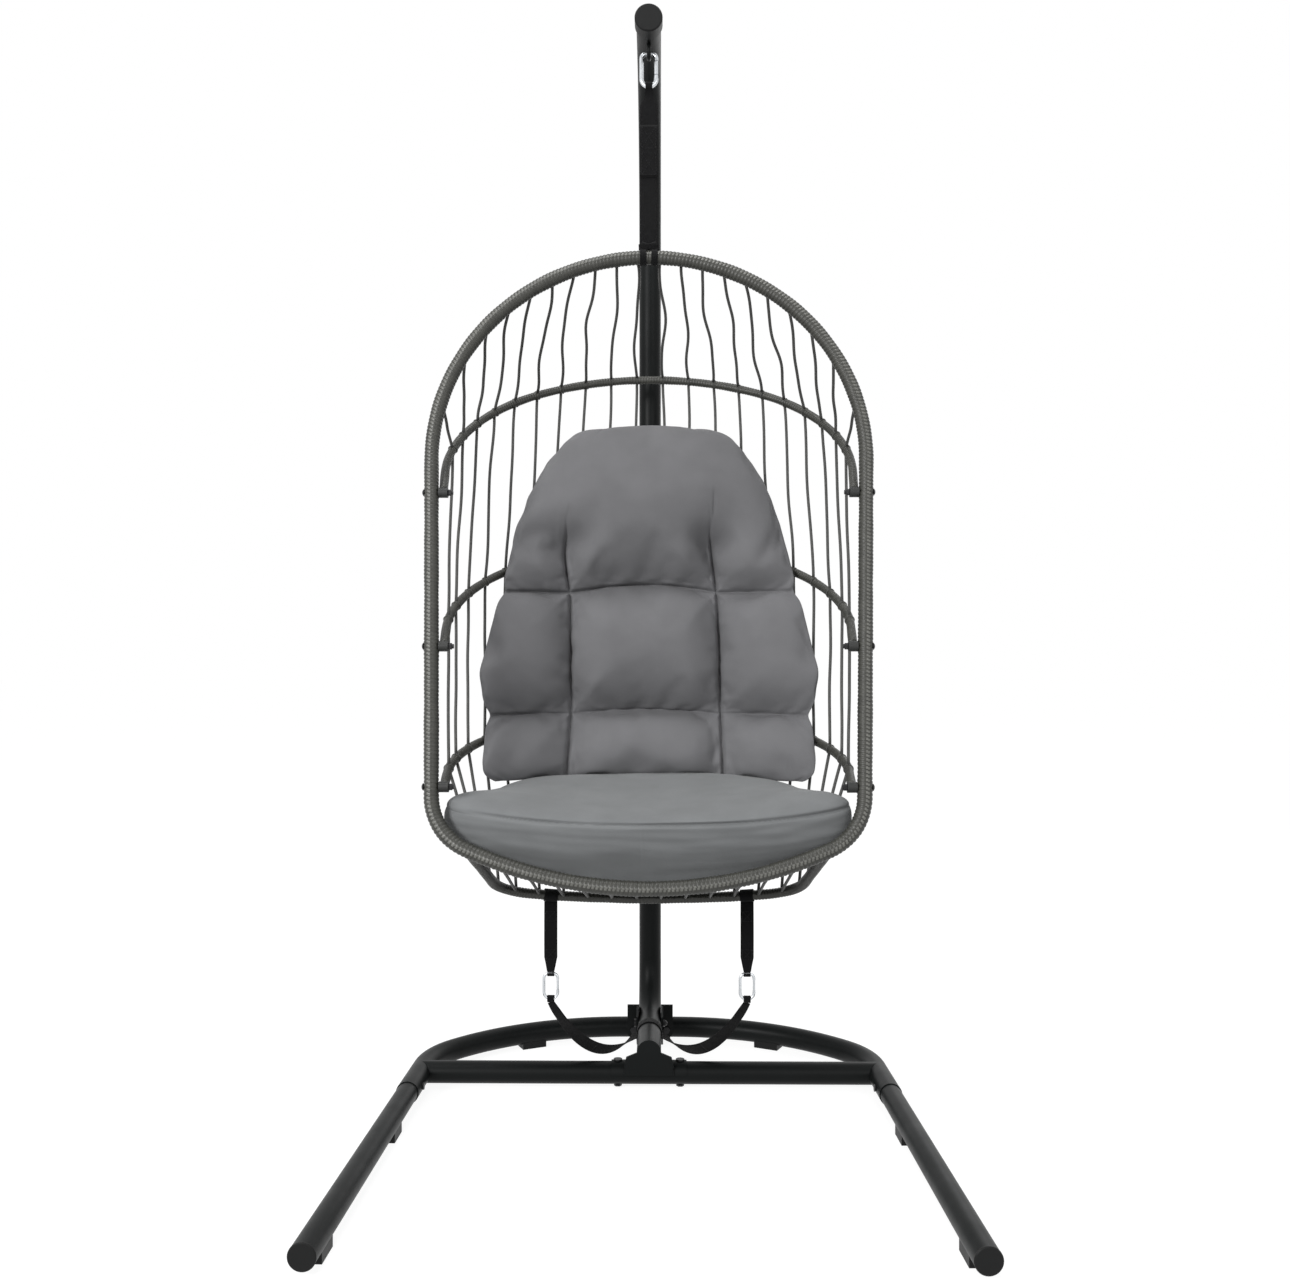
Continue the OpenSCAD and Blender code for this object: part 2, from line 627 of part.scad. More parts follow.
// Two upright bolts, two face bolts that stop short of them, and the pole's cross bolt
module pole_bracket_bolts() {
    top_z = base_axis_z + base_tube_r + plate_t;
    front_y = arc_y - base_tube_r - plate_t;
    half = pole_r + plate_t + 0.4;
    color(bolt_colour) {
        for (side = [-1, 1]) translate([side * bracket_bolt_x, 0, 0]) {
            translate([0, arc_y, top_z - 2 * base_tube_r - plate_t - 0.2])
                cylinder(h = 2 * base_tube_r + plate_t + 0.4, r = bolt_r);
            translate([0, arc_y, top_z - 2 * base_tube_r - plate_t - 3.7]) cylinder(h = 3.5, r = 2 * bolt_r);
            translate([0, arc_y, top_z + 0.2]) domed_nut(bolt_r);
            translate([0, front_y - 0.2, base_axis_z]) rotate([90, 0, 0]) {
                translate([0, 0, -12]) cylinder(h = 12, r = bolt_r - 1);
                hexagon(3.2 * bolt_r, 4);
            }
        }
        translate([0, cross_bolt_y, cross_bolt_z]) rotate([0, 90, 0]) {
            cylinder(h = 2 * half, r = bolt_r, center = true);
            translate([0, 0, half]) domed_nut(bolt_r);
            translate([0, 0, -half - 4]) cylinder(h = 4, r = 2 * bolt_r);
        }
    }
}

// A half shell on the crossbar with the plate that closes the pole's foot
module crossbar_saddle() {
    flare_z = base_axis_z + base_tube_r * 0.8;
    flare_half = 46;
    gusset_y = 10;
    color(stand_colour) difference() {
        union() {
            translate([-saddle_half_len, crossbar_y, base_axis_z]) rotate([0, 90, 0]) difference() {
                cylinder(h = 2 * saddle_half_len, r = base_tube_r + saddle_t);
                translate([-1, -40, -1]) cube([80, 80, 2 * saddle_half_len + 2]);
            }
            translate([0, foot_end_y - 0.1, 0]) rotate([90, 0, 0]) linear_extrude(plate_t) {
                translate([0, foot_z]) circle(r = pole_r);
                polygon([[-flare_half, flare_z], [flare_half, flare_z], [flare_half - 4, flare_z + 20],
                    [20, foot_z], [-20, foot_z], [4 - flare_half, flare_z + 20]]);
            }
            translate([0, foot_end_y + gusset_y, 0]) rotate([90, 0, 0]) linear_extrude(gusset_y + plate_t + 0.1)
                polygon([[-flare_half, base_axis_z + 2], [flare_half, base_axis_z + 2],
                    [flare_half - 2, flare_z + 2], [2 - flare_half, flare_z + 2]]);
        }
        translate([-2 * saddle_half_len, crossbar_y, base_axis_z]) rotate([0, 90, 0])
            cylinder(h = 4 * saddle_half_len, r = base_tube_r + 0.05);
        for (side = [-1, 1]) translate([side * crossbar_bolt_x, crossbar_y, base_axis_z])
            cylinder(h = 4 * base_tube_r, r = bolt_r + bolt_gap, center = true);
    }
}

// Two bolts through the saddle and the crossbar, with their nuts underneath
module crossbar_bolts() {
    up = base_tube_r + saddle_t;
    color(bolt_colour) for (side = [-1, 1]) translate([side * crossbar_bolt_x, crossbar_y, base_axis_z]) {
        translate([0, 0, -base_tube_r - 3]) cylinder(h = up + base_tube_r + 3.2, r = bolt_r);
        translate([0, 0, up + 0.2]) cylinder(h = 2.5, r = 2 * bolt_r);
        translate([0, 0, -base_tube_r - 3.7]) hexagon(3.2 * bolt_r, 3.5);
    }
}

// ---- Suspension ----

// The eye is cut to fit the arm, and is welded to it
module hanging_eye() {
    weld_r = pole_r + joint_lip + 0.01;
    color(stand_colour) difference() {
        translate([0, hook_y, eye_z]) rotate([0, 90, 0])
            rotate_extrude() translate([eye_r, 0]) circle(r = eye_rod_r);
        translate([0, arm_end_y, arm_z]) rotate([-90, 0, 0]) cylinder(h = arm_straight + 0.01, r = weld_r);
        translate([0, pole_y, pole_joint_z]) rotate([0, 0, -90])
            bent_tube([[arm_z - arm_bend_r - pole_joint_z], [arm_bend_r, 90]], weld_r);
    }
}

// Half the width of a carabiner's loop at its rod's axis
function clip_half(w, rod) = w / 2 - rod;

// A carabiner's rod from the gate's hinge round to its nose; the lower bow's axis is at Z 0
module carabiner(w, h, rod) {
    half = clip_half(w, rod);
    corner = half - clip_bar_half;
    hinge_z = half + rod;
    side = h - 2 * rod - half - corner;
    color(steel_colour) {
        difference() {
            translate([half, 0, hinge_z + rod / 2]) rotate([0, 180, 0]) bent_tube([[1.5 * rod], [half, 180],
                [side], [corner, 90], [2 * clip_bar_half], [corner, 90], [rod]], rod);
            translate([half - rod - 1, -0.425 * rod, hinge_z - 0.62 * rod])
                cube([2 * rod + 2, 0.85 * rod, 2 * rod]);
        }
        translate([half, 0, hinge_z]) rotate([90, 0, 0]) cylinder(h = 1.7 * rod, r = rod / 4, center = true);
    }
}

// The gate that closes a carabiner, with its hinge tongue
module carabiner_gate(w, h, rod) {
    half = clip_half(w, rod);
    corner = half - clip_bar_half;
    hinge_z = half + rod;
    nose_z = h - 2 * rod - corner - rod;
    color("#aeb1b4") translate([half, 0, hinge_z]) difference() {
        union() {
            translate([0, 0, 0.95 * rod]) cylinder(h = nose_z - hinge_z - 0.95 * rod - 0.6, r = rod - 0.5);
            rotate([90, 0, 0]) cylinder(h = 0.75 * rod, r = rod / 2, center = true);
            translate([-rod / 2, -0.375 * rod, 0]) cube([rod, 0.75 * rod, rod]);
        }
        rotate([90, 0, 0]) cylinder(h = 3 * rod, r = rod / 4 + 0.05, center = true);
    }
}

module top_carabiner() {
    translate([0, hook_y, clip_bow_z]) carabiner(clip_w, clip_h, clip_rod_r);
}

module top_gate() {
    translate([0, hook_y, clip_bow_z]) carabiner_gate(clip_w, clip_h, clip_rod_r);
}

// A webbing loop round a rod that lies along X
module webbing_loop(inner_r, thickness, width) {
    rotate([0, 90, 0]) difference() {
        cylinder(h = width, r = inner_r + thickness, center = true);
        cylinder(h = width + 2, r = inner_r, center = true);
    }
}

// The hanging strap: a loop in the carabiner, the double strap, and a hitch round the rim's top
module hanging_strap() {
    loop_r = clip_rod_r + loop_gap;
    hitch_r = rim_wrap_r + 0.5;
    taper = 26;
    neck_z = clip_bow_z - loop_r - strap_t / 2;
    knot_z = rim_top_z + hitch_r + 1;
    color(webbing_colour) translate([0, hook_y, 0]) {
        translate([0, 0, clip_bow_z]) webbing_loop(loop_r, strap_t, loop_w);
        translate([0, sling_t / 2, 0]) rotate([90, 0, 0]) linear_extrude(sling_t) polygon([
            [-loop_w / 2, neck_z], [-sling_w / 2, neck_z - taper], [-sling_w / 2, knot_z + 1],
            [sling_w / 2, knot_z + 1], [sling_w / 2, neck_z - taper], [loop_w / 2, neck_z]]);
        translate([-sling_w / 2, -8, knot_z]) cube([sling_w, 16, 7]);
        for (side = [-1, 1]) translate([side * (sling_w / 2 - 6), 0, rim_top_z])
            webbing_loop(hitch_r, strap_t, 11);
    }
}

// Safety straps and carabiners
strap_spot = on_seat(strap_place)[0];
safety_top_z = strap_spot[2] - hoop_wrap_r - upper_strap_len;
safety_bow_z = safety_top_z - safety_clip_h + 2 * safety_rod_r;

module at_safety(side) {
    translate([side * strap_spot[0], strap_spot[1], safety_bow_z]) children();
}

module left_safety_carabiner() {
    at_safety(-1) carabiner(safety_clip_w, safety_clip_h, safety_rod_r);
}

module right_safety_carabiner() {
    at_safety(1) carabiner(safety_clip_w, safety_clip_h, safety_rod_r);
}

module left_safety_gate() {
    at_safety(-1) carabiner_gate(safety_clip_w, safety_clip_h, safety_rod_r);
}

module right_safety_gate() {
    at_safety(1) carabiner_gate(safety_clip_w, safety_clip_h, safety_rod_r);
}

// A loop round the seat frame, a hanging strip, and a loop in the carabiner's top bar
module upper_strap(side) {
    loop_r = hoop_wrap_r + 0.4;
    clip_r = safety_rod_r + 0.8;
    low_z = safety_top_z + clip_r + strap_t / 2;
    high_z = strap_spot[2] - loop_r - strap_t / 2;
    taper = 14;
    color(webbing_colour) difference() {
        union() {
            translate(side > 0 ? strap_spot : mirrored(strap_spot))
                aim(side > 0 ? on_seat(strap_place)[1] : mirrored(on_seat(strap_place)[1]))
                cylinder(h = strap_w, r = loop_r + strap_t, center = true);
            translate([side * strap_spot[0], strap_spot[1] + strap_t / 2, 0]) rotate([90, 0, 0])
                linear_extrude(strap_t) polygon([[-loop_w / 2, low_z], [-strap_w / 2, low_z + taper],
                    [-strap_w / 2, high_z], [strap_w / 2, high_z], [strap_w / 2, low_z + taper],
                    [loop_w / 2, low_z]]);
            translate([side * strap_spot[0], strap_spot[1], safety_top_z])
                webbing_loop(clip_r, strap_t, loop_w);
        }
        translate(side > 0 ? strap_spot : mirrored(strap_spot))
            aim(side > 0 ? on_seat(strap_place)[1] : mirrored(on_seat(strap_place)[1]))
            cylinder(h = 4 * strap_w, r = loop_r, center = true);
    }
}

module left_upper_strap() {
    upper_strap(-1);
}

module right_upper_strap() {
    upper_strap(1);
}

// The lower strap: a loop round the pole's foot and a sagging arm to each carabiner
module lower_safety_strap() {
    clip_r = safety_rod_r + loop_gap;
    foot_loop_r = pole_r + 0.3;
    start = [strap_spot[0], strap_spot[1], safety_bow_z - clip_r - strap_t / 2];
    finish = [foot_loop_r - 1, foot_loop_y, foot_z - 4];
    reach = norm([start[0] - finish[0], start[1] - finish[1]]);
    heading = atan2(finish[1] - start[1], finish[0] - start[0]);
    ts = [for (k = [0:12]) k / 12];
    zs = [for (t = ts) start[2] + (finish[2] - start[2]) * t - 4 * strap_sag * t * (1 - t)];
    slopes = [for (t = ts) (finish[2] - start[2] - 4 * strap_sag * (1 - 2 * t)) / reach];
    normals = [for (m = slopes) [-m, 1] / norm([m, 1]) * strap_t / 2];
    upper = [for (k = [0:12]) [ts[k] * reach, zs[k]] + normals[k]];
    under = [for (k = [12:-1:0]) [ts[k] * reach, zs[k]] - normals[k]];
    color(webbing_colour) difference() {
        union() {
            translate([0, foot_loop_y, foot_z]) rotate([90, 0, 0])
                cylinder(h = strap_w, r = foot_loop_r + strap_t, center = true);
            for (side = [-1, 1]) {
                translate([side * start[0], start[1], 0]) rotate([90, 0, side > 0 ? heading : 180 - heading])
                    linear_extrude(strap_w, center = true) polygon(concat(upper, under));
                at_safety(side) webbing_loop(clip_r, strap_t, loop_w);
            }
        }
        translate([0, foot_loop_y, foot_z]) rotate([90, 0, 0])
            cylinder(h = 4 * strap_w, r = foot_loop_r, center = true);
        for (side = [-1, 1]) at_safety(side) rotate([0, 90, 0])
            cylinder(h = 4 * strap_w, r = clip_r, center = true);
    }
}

// ---- Basket frame ----

module rim_run(r, wall) {
    translate(in_rim(0, rim_drop)) rotate([-rim_lean, 0, 0]) {
        both_halves() upright_run() bent_tube(half_rim, r, wall);
        for (z = [0, rim_drop]) translate([0, 0, z]) upright_run() joint_ring(r, wall);
    }
}

module hoop_bolt_holes() {
    for (k = [0:2], side = [-1, 1]) translate(hoop_pivot(k) + [side * rim_half(hoop_drop[k]), 0, 0])
        rotate([0, 90, 0]) cylinder(h = 3 * rim_wrap_r, r = hoop_bolt_r + bolt_gap, center = true);
}

module rim_tube() {
    color("#2a2b2a") difference() {
        rim_run(rim_tube_r, 1.5);
        hoop_bolt_holes();
    }
}

module rim_wrap() {
    color(wrap_colour) difference() {
        rim_run(rim_wrap_r, rim_wrap_t - wrap_gap);
        hoop_bolt_holes();
    }
}

module on_hoop_ends(k) {
    for (side = [-1, 1]) translate(hoop_pivot(k) + [side * hoop_half(k), 0, 0]) rotate([0, 90, 0]) children();
}

module hoop_run(k, r, wall) {
    translate(hoop_pivot(k)) rotate([hoop_rise[k], 0, 0]) translate([0, hoop_depth, 0]) {
        both_halves() flat_run() bent_tube(half_hoop(k), r, wall);
        flat_run() joint_ring(r, wall);
    }
}

module hoop_tube(k) {
    color("#2a2b2a") difference() {
        union() {
            hoop_run(k, hoop_tube_r, 1.2);
            on_hoop_ends(k) cylinder(h = 2 * eye_half, r = eye_outer_r, center = true);
        }
        on_hoop_ends(k) cylinder(h = 4 * eye_half, r = hoop_bolt_r + bolt_gap, center = true);
    }
}

module hoop_wrap(k) {
    color(wrap_colour) difference() {
        hoop_run(k, hoop_wrap_r, hoop_wrap_t - wrap_gap);
        on_hoop_ends(k) cylinder(h = 4 * eye_half, r = eye_outer_r + 0.1, center = true);
    }
}

module upper_hoop_tube() {
    hoop_tube(0);
}

module upper_hoop_wrap() {
    hoop_wrap(0);
}

module middle_hoop_tube() {
    hoop_tube(1);
}

module middle_hoop_wrap() {
    hoop_wrap(1);
}

module lower_hoop_tube() {
    hoop_tube(2);
}

module lower_hoop_wrap() {
    hoop_wrap(2);
}

// The seat frame's ends stop at the rim's wrapped lower corners, where they are welded
module seat_run(r, wall) {
    difference() {
        translate(in_rim(0, seat_drop)) rotate([-seat_fall, 0, 0]) translate([0, seat_depth, 0]) {
            both_halves() flat_run() bent_tube(half_seat, r, wall);
            flat_run() joint_ring(r, wall);
        }
        rim_run(rim_wrap_r + 0.05, 0);
    }
}

module seat_frame_tube() {
    color("#2a2b2a") seat_run(hoop_tube_r, 1.2);
}

module seat_frame_wrap() {
    color(wrap_colour) seat_run(hoop_wrap_r, hoop_wrap_t - wrap_gap);
}

// Button-headed bolts from outside the rim, and domed nuts inside the hoops' eyes
module hoop_bolts() {
    color(bolt_colour) for (k = [0:2], side = [-1, 1])
        translate(hoop_pivot(k) + [side * (rim_half(hoop_drop[k]) + rim_wrap_r + 0.3), 0, 0])
        rotate([0, 90 * side, 0]) {
            shank = 2 * rim_wrap_r + eye_gap + 2 * eye_half + 2 * hoop_bolt_r + 0.6;
            translate([0, 0, -shank]) cylinder(h = shank, r = hoop_bolt_r);
            rotate_extrude() polygon([[0, 0], [2 * hoop_bolt_r, 0], [2 * hoop_bolt_r, 1.2],
                [hoop_bolt_r, 3], [0, 3]]);
        }
}

module hoop_nuts() {
    color(bolt_colour) for (k = [0:2], side = [-1, 1])
        translate(hoop_pivot(k) + [side * (hoop_half(k) - eye_half - 0.2), 0, 0]) rotate([0, -90 * side, 0])
        difference() {
            union() {
                hexagon(3.2 * hoop_bolt_r, 2 * hoop_bolt_r);
                translate([0, 0, 2 * hoop_bolt_r]) cylinder(h = hoop_bolt_r, r = 1.3 * hoop_bolt_r);
            }
            translate([0, 0, -1]) cylinder(h = 2 * hoop_bolt_r + 1.6, r = hoop_bolt_r + 0.02);
        }
}

// ---- Cords ----

// A cord between two places on tubes, each [point, tangent], that stops at their wraps
module cord(from, to, from_r, to_r) {
    way = to[0] - from[0];
    length = norm(way);
    lean_a = abs(from[1] * way) / length;
    lean_b = abs(to[1] * way) / length;
    cut_a = (from_r + 0.3 + cord_r * lean_a) / sqrt(1 - lean_a * lean_a);
    cut_b = (to_r + 0.3 + cord_r * lean_b) / sqrt(1 - lean_b * lean_b);
    translate(from[0]) aim(way) translate([0, 0, cut_a]) cylinder(h = length - cut_a - cut_b, r = cord_r);
}

module cord_row(tops, feet, top_r, foot_r) {
    color(cord_colour) both_halves() for (k = [0:len(tops) - 1]) cord(tops[k], feet[k], top_r, foot_r);
}

rows = [for (k = [0:cord_pairs - 1]) k + 0.5];
arch_spots = [for (k = rows) on_arch(asin(k * arch_pitch / rim_arch_r))];
upper_spots = [for (k = rows) on_hoop(0, k * upper_hoop_pitch)];
middle_spots = [for (k = rows) on_hoop(1, k * low_hoop_pitch)];
lower_spots = [for (k = rows) on_hoop(2, k * low_hoop_pitch)];
seat_spots = [for (k = rows) on_seat(k * seat_pitch)];
under_rows = [for (k = [0:seat_pairs - 1]) k + 0.5];
under_seat_spots = [for (k = under_rows) on_seat(k * seat_pitch)];
bottom_spots = [for (k = under_rows) on_bottom(k * seat_pitch)];

module upper_back_cords() {
    cord_row(arch_spots, upper_spots, rim_wrap_r, hoop_wrap_r);
}

module middle_back_cords() {
    cord_row(upper_spots, middle_spots, hoop_wrap_r, hoop_wrap_r);
}

module lower_back_cords() {
    cord_row(middle_spots, lower_spots, hoop_wrap_r, hoop_wrap_r);
}

module seat_back_cords() {
    cord_row(lower_spots, seat_spots, hoop_wrap_r, hoop_wrap_r);
}

module under_seat_cords() {
    cord_row(under_seat_spots, bottom_spots, hoop_wrap_r, rim_wrap_r);
}

// ---- Cushions ----

// How far a hoop has come forward of its apex at a distance from the middle
function hoop_fall(k, x) = let(r = hoop_apex_r(k), cx = (r - hoop_shoulder_r) * sin(hoop_apex_turn))
    abs(x) < r * sin(hoop_apex_turn) ? r - sqrt(r * r - x * x)
    : r - (r - hoop_shoulder_r) * cos(hoop_apex_turn) - sqrt(pow(hoop_shoulder_r, 2) - pow(abs(x) - cx, 2));
// A hoop's [Y, Z] at a distance from the middle
function hoop_yz(k, x) =
    let(p = hoop_pivot(k) + tilt(0, hoop_depth - hoop_fall(k, x), hoop_rise[k])) [p[1], p[2]];
// Y of the basket's back between its hoops
function back_y(x, z) = let(a = hoop_yz(0, x), b = hoop_yz(1, x), c = hoop_yz(2, x))
    z > b[1] ? b[0] + (z - b[1]) * (a[0] - b[0]) / (a[1] - b[1])
    : z > c[1] ? c[0] + (z - c[1]) * (b[0] - c[0]) / (b[1] - c[1])
    : c[0] - (c[1] - z) * below_slope;

function dip(d) = exp(-pow(d / channel_half, 2));
function channels(x, v) = let(fade = max(0, min(1, (channel_top - v) / 0.12)))
    max([dip(abs(x) - channel_x) * fade, for (row = channel_rows) dip((v - row) * back_h)]);
function back_crown(u, v) = pow(1 - pow(abs(u), 4), 0.6) * pow(max(0, 1 - pow(abs(2 * v - 1), 8)), 0.5);

// Front or back point of the back cushion
function back_point(i, j, front) =
    let(u = 2 * i / back_cols - 1, v = j / back_rows, x = u * back_half_w * lookup(v, back_outline))
    let(z = rim_bottom_z + back_foot + v * back_h, crown = back_crown(u, v))
    let(rear = back_y(x, z) - back_clear - back_edge_t * (1 - crown), deep = back_t - back_edge_t)
    [x, front ? rear - back_edge_t - deep * crown * (1 - channel_share * channels(x, v)) : rear, z];

// Two triangles for a cell of four corners in order
function cell(a, b, c, d) = [[a, b, c], [a, c, d]];

module back_cushion() {
    w = back_cols + 1;
    n = w * (back_rows + 1);
    points = [for (front = [true, false], j = [0:back_rows], i = [0:back_cols]) back_point(i, j, front)];
    sheets = [for (j = [0:back_rows - 1], i = [0:back_cols - 1]) let(p = j * w + i)
        each concat(cell(p, p + w, p + w + 1, p + 1), cell(n + p, n + p + 1, n + p + w + 1, n + p + w))];
    sides = [for (j = [0:back_rows - 1]) let(p = j * w, q = p + back_cols)
        each concat(cell(p, n + p, n + p + w, p + w), cell(q, q + w, n + q + w, n + q))];
    ends = [for (i = [0:back_cols - 1]) let(p = i, q = back_rows * w + i)
        each concat(cell(p, p + 1, n + p + 1, n + p), cell(q, n + q, n + q + 1, q + 1))];
    color("#6b6b6d") polyhedron(points = points, faces = concat(sheets, sides, ends));
}

// How far a point of the seat cushion is lifted by the rim's corners
function corner_lift(x, y, z) = seat_lift * pow(abs(x) / seat_half_w, 2.2) * min(1, 1 + z / seat_t)
    * max(0, min(1, (seat_lift_back - y) / seat_lift_fade));
function lifted(p) = [p[0], p[1], p[2] + corner_lift(p[0], p[1], p[2])];

module seat_cushion() {
    half = [for (p = seat_outline) [seat_half_w * p[0], seat_d * (p[1] - 0.5)]];
    last = len(half) - 1;
    outline = concat(half, [for (k = [last - 1:-1:1]) [-half[k][0], half[k][1]]]);
    n = len(outline);
    tops = [for (k = [1:seat_top_rings - 1]) let(s = sin(90 * k / seat_top_rings))
        [s, seat_crown * pow(1 - pow(s, 4), 0.6)]];
    sides = [for (p = seat_side) [p[0], -p[1] * seat_t]];
    rings = concat(tops, sides);
    count = len(rings);
    ring_points = [for (k = [0:count - 1], p = outline)
        let(s = rings[k][0], keep = k < len(tops) ? 1 : p[1] < 0 ? seat_keep_front : seat_keep_back)
        lifted([p[0] * s, p[1] * (1 - keep * (1 - s)), rings[k][1]])];
    walls = [for (k = [0:count - 2], i = [0:n - 1]) let(j = (i + 1) % n)
        each cell(k * n + i, (k + 1) * n + i, (k + 1) * n + j, k * n + j)];
    top = count * n;
    caps = [for (i = [0:n - 1]) let(j = (i + 1) % n)
        each [[top, i, j], [top + 1, (count - 1) * n + j, (count - 1) * n + i]]];
    points = concat(ring_points, [[0, 0, seat_crown], [0, 0, -seat_t]]);
    color("#7c8080") translate([0, seat_mid_y, seat_mid_z]) rotate([seat_tilt, 0, 0])
        polyhedron(points = points, faces = concat(walls, caps));
}

rear_arc_tube();
crossbar_tube();
left_leg_tube();
right_leg_tube();
leg_end_caps();
leg_screws();
foot_pads();
lower_pole_tube();
upper_pole_tube();
pole_joint_bolt();
arm_end_cap();
pole_bracket();
pole_bracket_bolts();
crossbar_saddle();
crossbar_bolts();
hanging_eye();
lower_safety_strap();
top_carabiner();
top_gate();
hanging_strap();
left_safety_carabiner();
right_safety_carabiner();
left_safety_gate();
right_safety_gate();
left_upper_strap();
right_upper_strap();
rim_tube();
rim_wrap();
upper_hoop_tube();
upper_hoop_wrap();
middle_hoop_tube();
middle_hoop_wrap();
lower_hoop_tube();
lower_hoop_wrap();
seat_frame_tube();
seat_frame_wrap();
hoop_bolts();
hoop_nuts();
upper_back_cords();
middle_back_cords();
lower_back_cords();
seat_back_cords();
under_seat_cords();
back_cushion();
seat_cushion();
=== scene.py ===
import bpy
import json
import math
import random
from collections import namedtuple
import numpy as np
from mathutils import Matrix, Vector, noise

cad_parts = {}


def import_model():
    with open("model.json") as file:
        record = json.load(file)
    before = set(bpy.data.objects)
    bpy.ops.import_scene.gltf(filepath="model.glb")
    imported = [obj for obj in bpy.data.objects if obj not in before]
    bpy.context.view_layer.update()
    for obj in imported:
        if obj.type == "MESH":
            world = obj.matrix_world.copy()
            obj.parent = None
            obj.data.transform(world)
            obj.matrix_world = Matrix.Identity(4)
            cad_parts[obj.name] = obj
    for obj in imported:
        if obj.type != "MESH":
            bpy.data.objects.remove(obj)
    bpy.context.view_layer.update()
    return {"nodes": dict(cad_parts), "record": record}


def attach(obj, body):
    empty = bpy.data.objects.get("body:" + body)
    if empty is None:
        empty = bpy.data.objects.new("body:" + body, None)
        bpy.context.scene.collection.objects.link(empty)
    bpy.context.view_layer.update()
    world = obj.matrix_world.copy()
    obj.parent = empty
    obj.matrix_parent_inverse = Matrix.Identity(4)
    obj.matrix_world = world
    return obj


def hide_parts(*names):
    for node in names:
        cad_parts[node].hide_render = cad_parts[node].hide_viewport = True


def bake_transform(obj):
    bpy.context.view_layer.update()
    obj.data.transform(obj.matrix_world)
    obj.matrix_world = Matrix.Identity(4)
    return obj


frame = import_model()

X_AXIS, Y_AXIS, Z_AXIS = Vector((1, 0, 0)), Vector((0, 1, 0)), Vector((0, 0, 1))

# ---- Camera ----

PICTURE_W, FOCAL_LENGTH = 1290.0, 1225.0  # in pixels
SENSOR_W = 36.0  # mm
CAMERA_AT = (0.020, -2.08, 0.797)
CAMERA_TURN = (math.radians(90.0), 0.0, math.radians(0.69))
CAMERA_SHIFT_Y, CAMERA_REACH = 0.0151, 60.0


def camera():
    data = bpy.data.cameras.new("camera")
    data.sensor_width = SENSOR_W
    data.lens = FOCAL_LENGTH / PICTURE_W * SENSOR_W
    data.shift_y = CAMERA_SHIFT_Y
    data.clip_end = CAMERA_REACH
    o = bpy.data.objects.new("camera", data)
    bpy.context.scene.collection.objects.link(o)
    o.location = CAMERA_AT
    o.rotation_euler = CAMERA_TURN
    bpy.context.scene.camera = o


camera()

# ---- The basket's curves, in metres, as the CAD model has them ----

# The rim lies in a plane that leans back towards its top; a drop is a distance down that plane.
HOOK_Y, RIM_TOP_Z, LEAN = 0.174, 1.5373, math.radians(13.7)
RIM_DROP = 1.14359
BOTTOM_R, BOTTOM_TURN = 0.737, math.radians(23.8257)
CORNER_R, CORNER_TURN = 0.100, math.radians(63.6743)
SIDE_LENGTH, SIDE_LEAN = 0.594, math.radians(2.5)
ARCH_R, ARCH_TURN = 0.3835, math.radians(92.5)
ARCH_DROP = ARCH_R * (1 + math.sin(SIDE_LEAN))
SIDE_X = ARCH_R * math.cos(SIDE_LEAN)
RIM_R, HOOP_R, CORD_R = 0.0125, 0.00775, 0.00275
# A run is half a curve, from its middle outwards: (radius, turn) for a bend, (length,) for a straight.
RIM_RUN = [(BOTTOM_R, BOTTOM_TURN), (CORNER_R, CORNER_TURN), (SIDE_LENGTH,), (ARCH_R, ARCH_TURN)]

HOOP_NAMES = ("upper", "middle", "lower")
HOOP_DROP = (0.460, 0.738, 0.978)
HOOP_RISE = tuple(math.radians(a) for a in (40.0, 28.5, 14.0))
HOOP_DEPTH, SHOULDER_R = 0.420, 0.310
APEX_TURN, SHOULDER_TURN = math.radians(30.0), math.radians(65.0)
EYE_GAP, EYE_HALF = 0.0004, 0.008

SEAT_R = 0.0092  # the seat frame's wicker, wound thicker than the CAD model's, which is at HOOP_R
SEAT_DEPTH, SEAT_FALL = 0.303, math.radians(26.5)
SEAT_RUN = [(0.770, math.radians(16.0)), (0.090, math.radians(68.0)), (0.197145,)]
SEAT_DROP = RIM_DROP - BOTTOM_R * (1 - math.cos(BOTTOM_TURN)) - 0.003


def in_rim(x, drop):
    return Vector((x, HOOK_Y - drop * math.sin(LEAN), RIM_TOP_Z - drop * math.cos(LEAN)))


def along(run, length):
    """x and distance turned away, at a length along a run."""
    x = d = heading = 0.0
    for k, step in enumerate(run):
        full = step[0] * step[1] if len(step) == 2 else step[0]
        part = length if (length <= full or k == len(run) - 1) else full
        if len(step) == 2:
            turn = part / step[0]
            x += step[0] * (math.sin(heading + turn) - math.sin(heading))
            d += step[0] * (math.cos(heading) - math.cos(heading + turn))
            heading += turn
        else:
            x += part * math.cos(heading)
            d += part * math.sin(heading)
        if length <= full:
            break
        length -= full
    return x, d


def run_length(run):
    return sum(step[0] * step[1] if len(step) == 2 else step[0] for step in run)


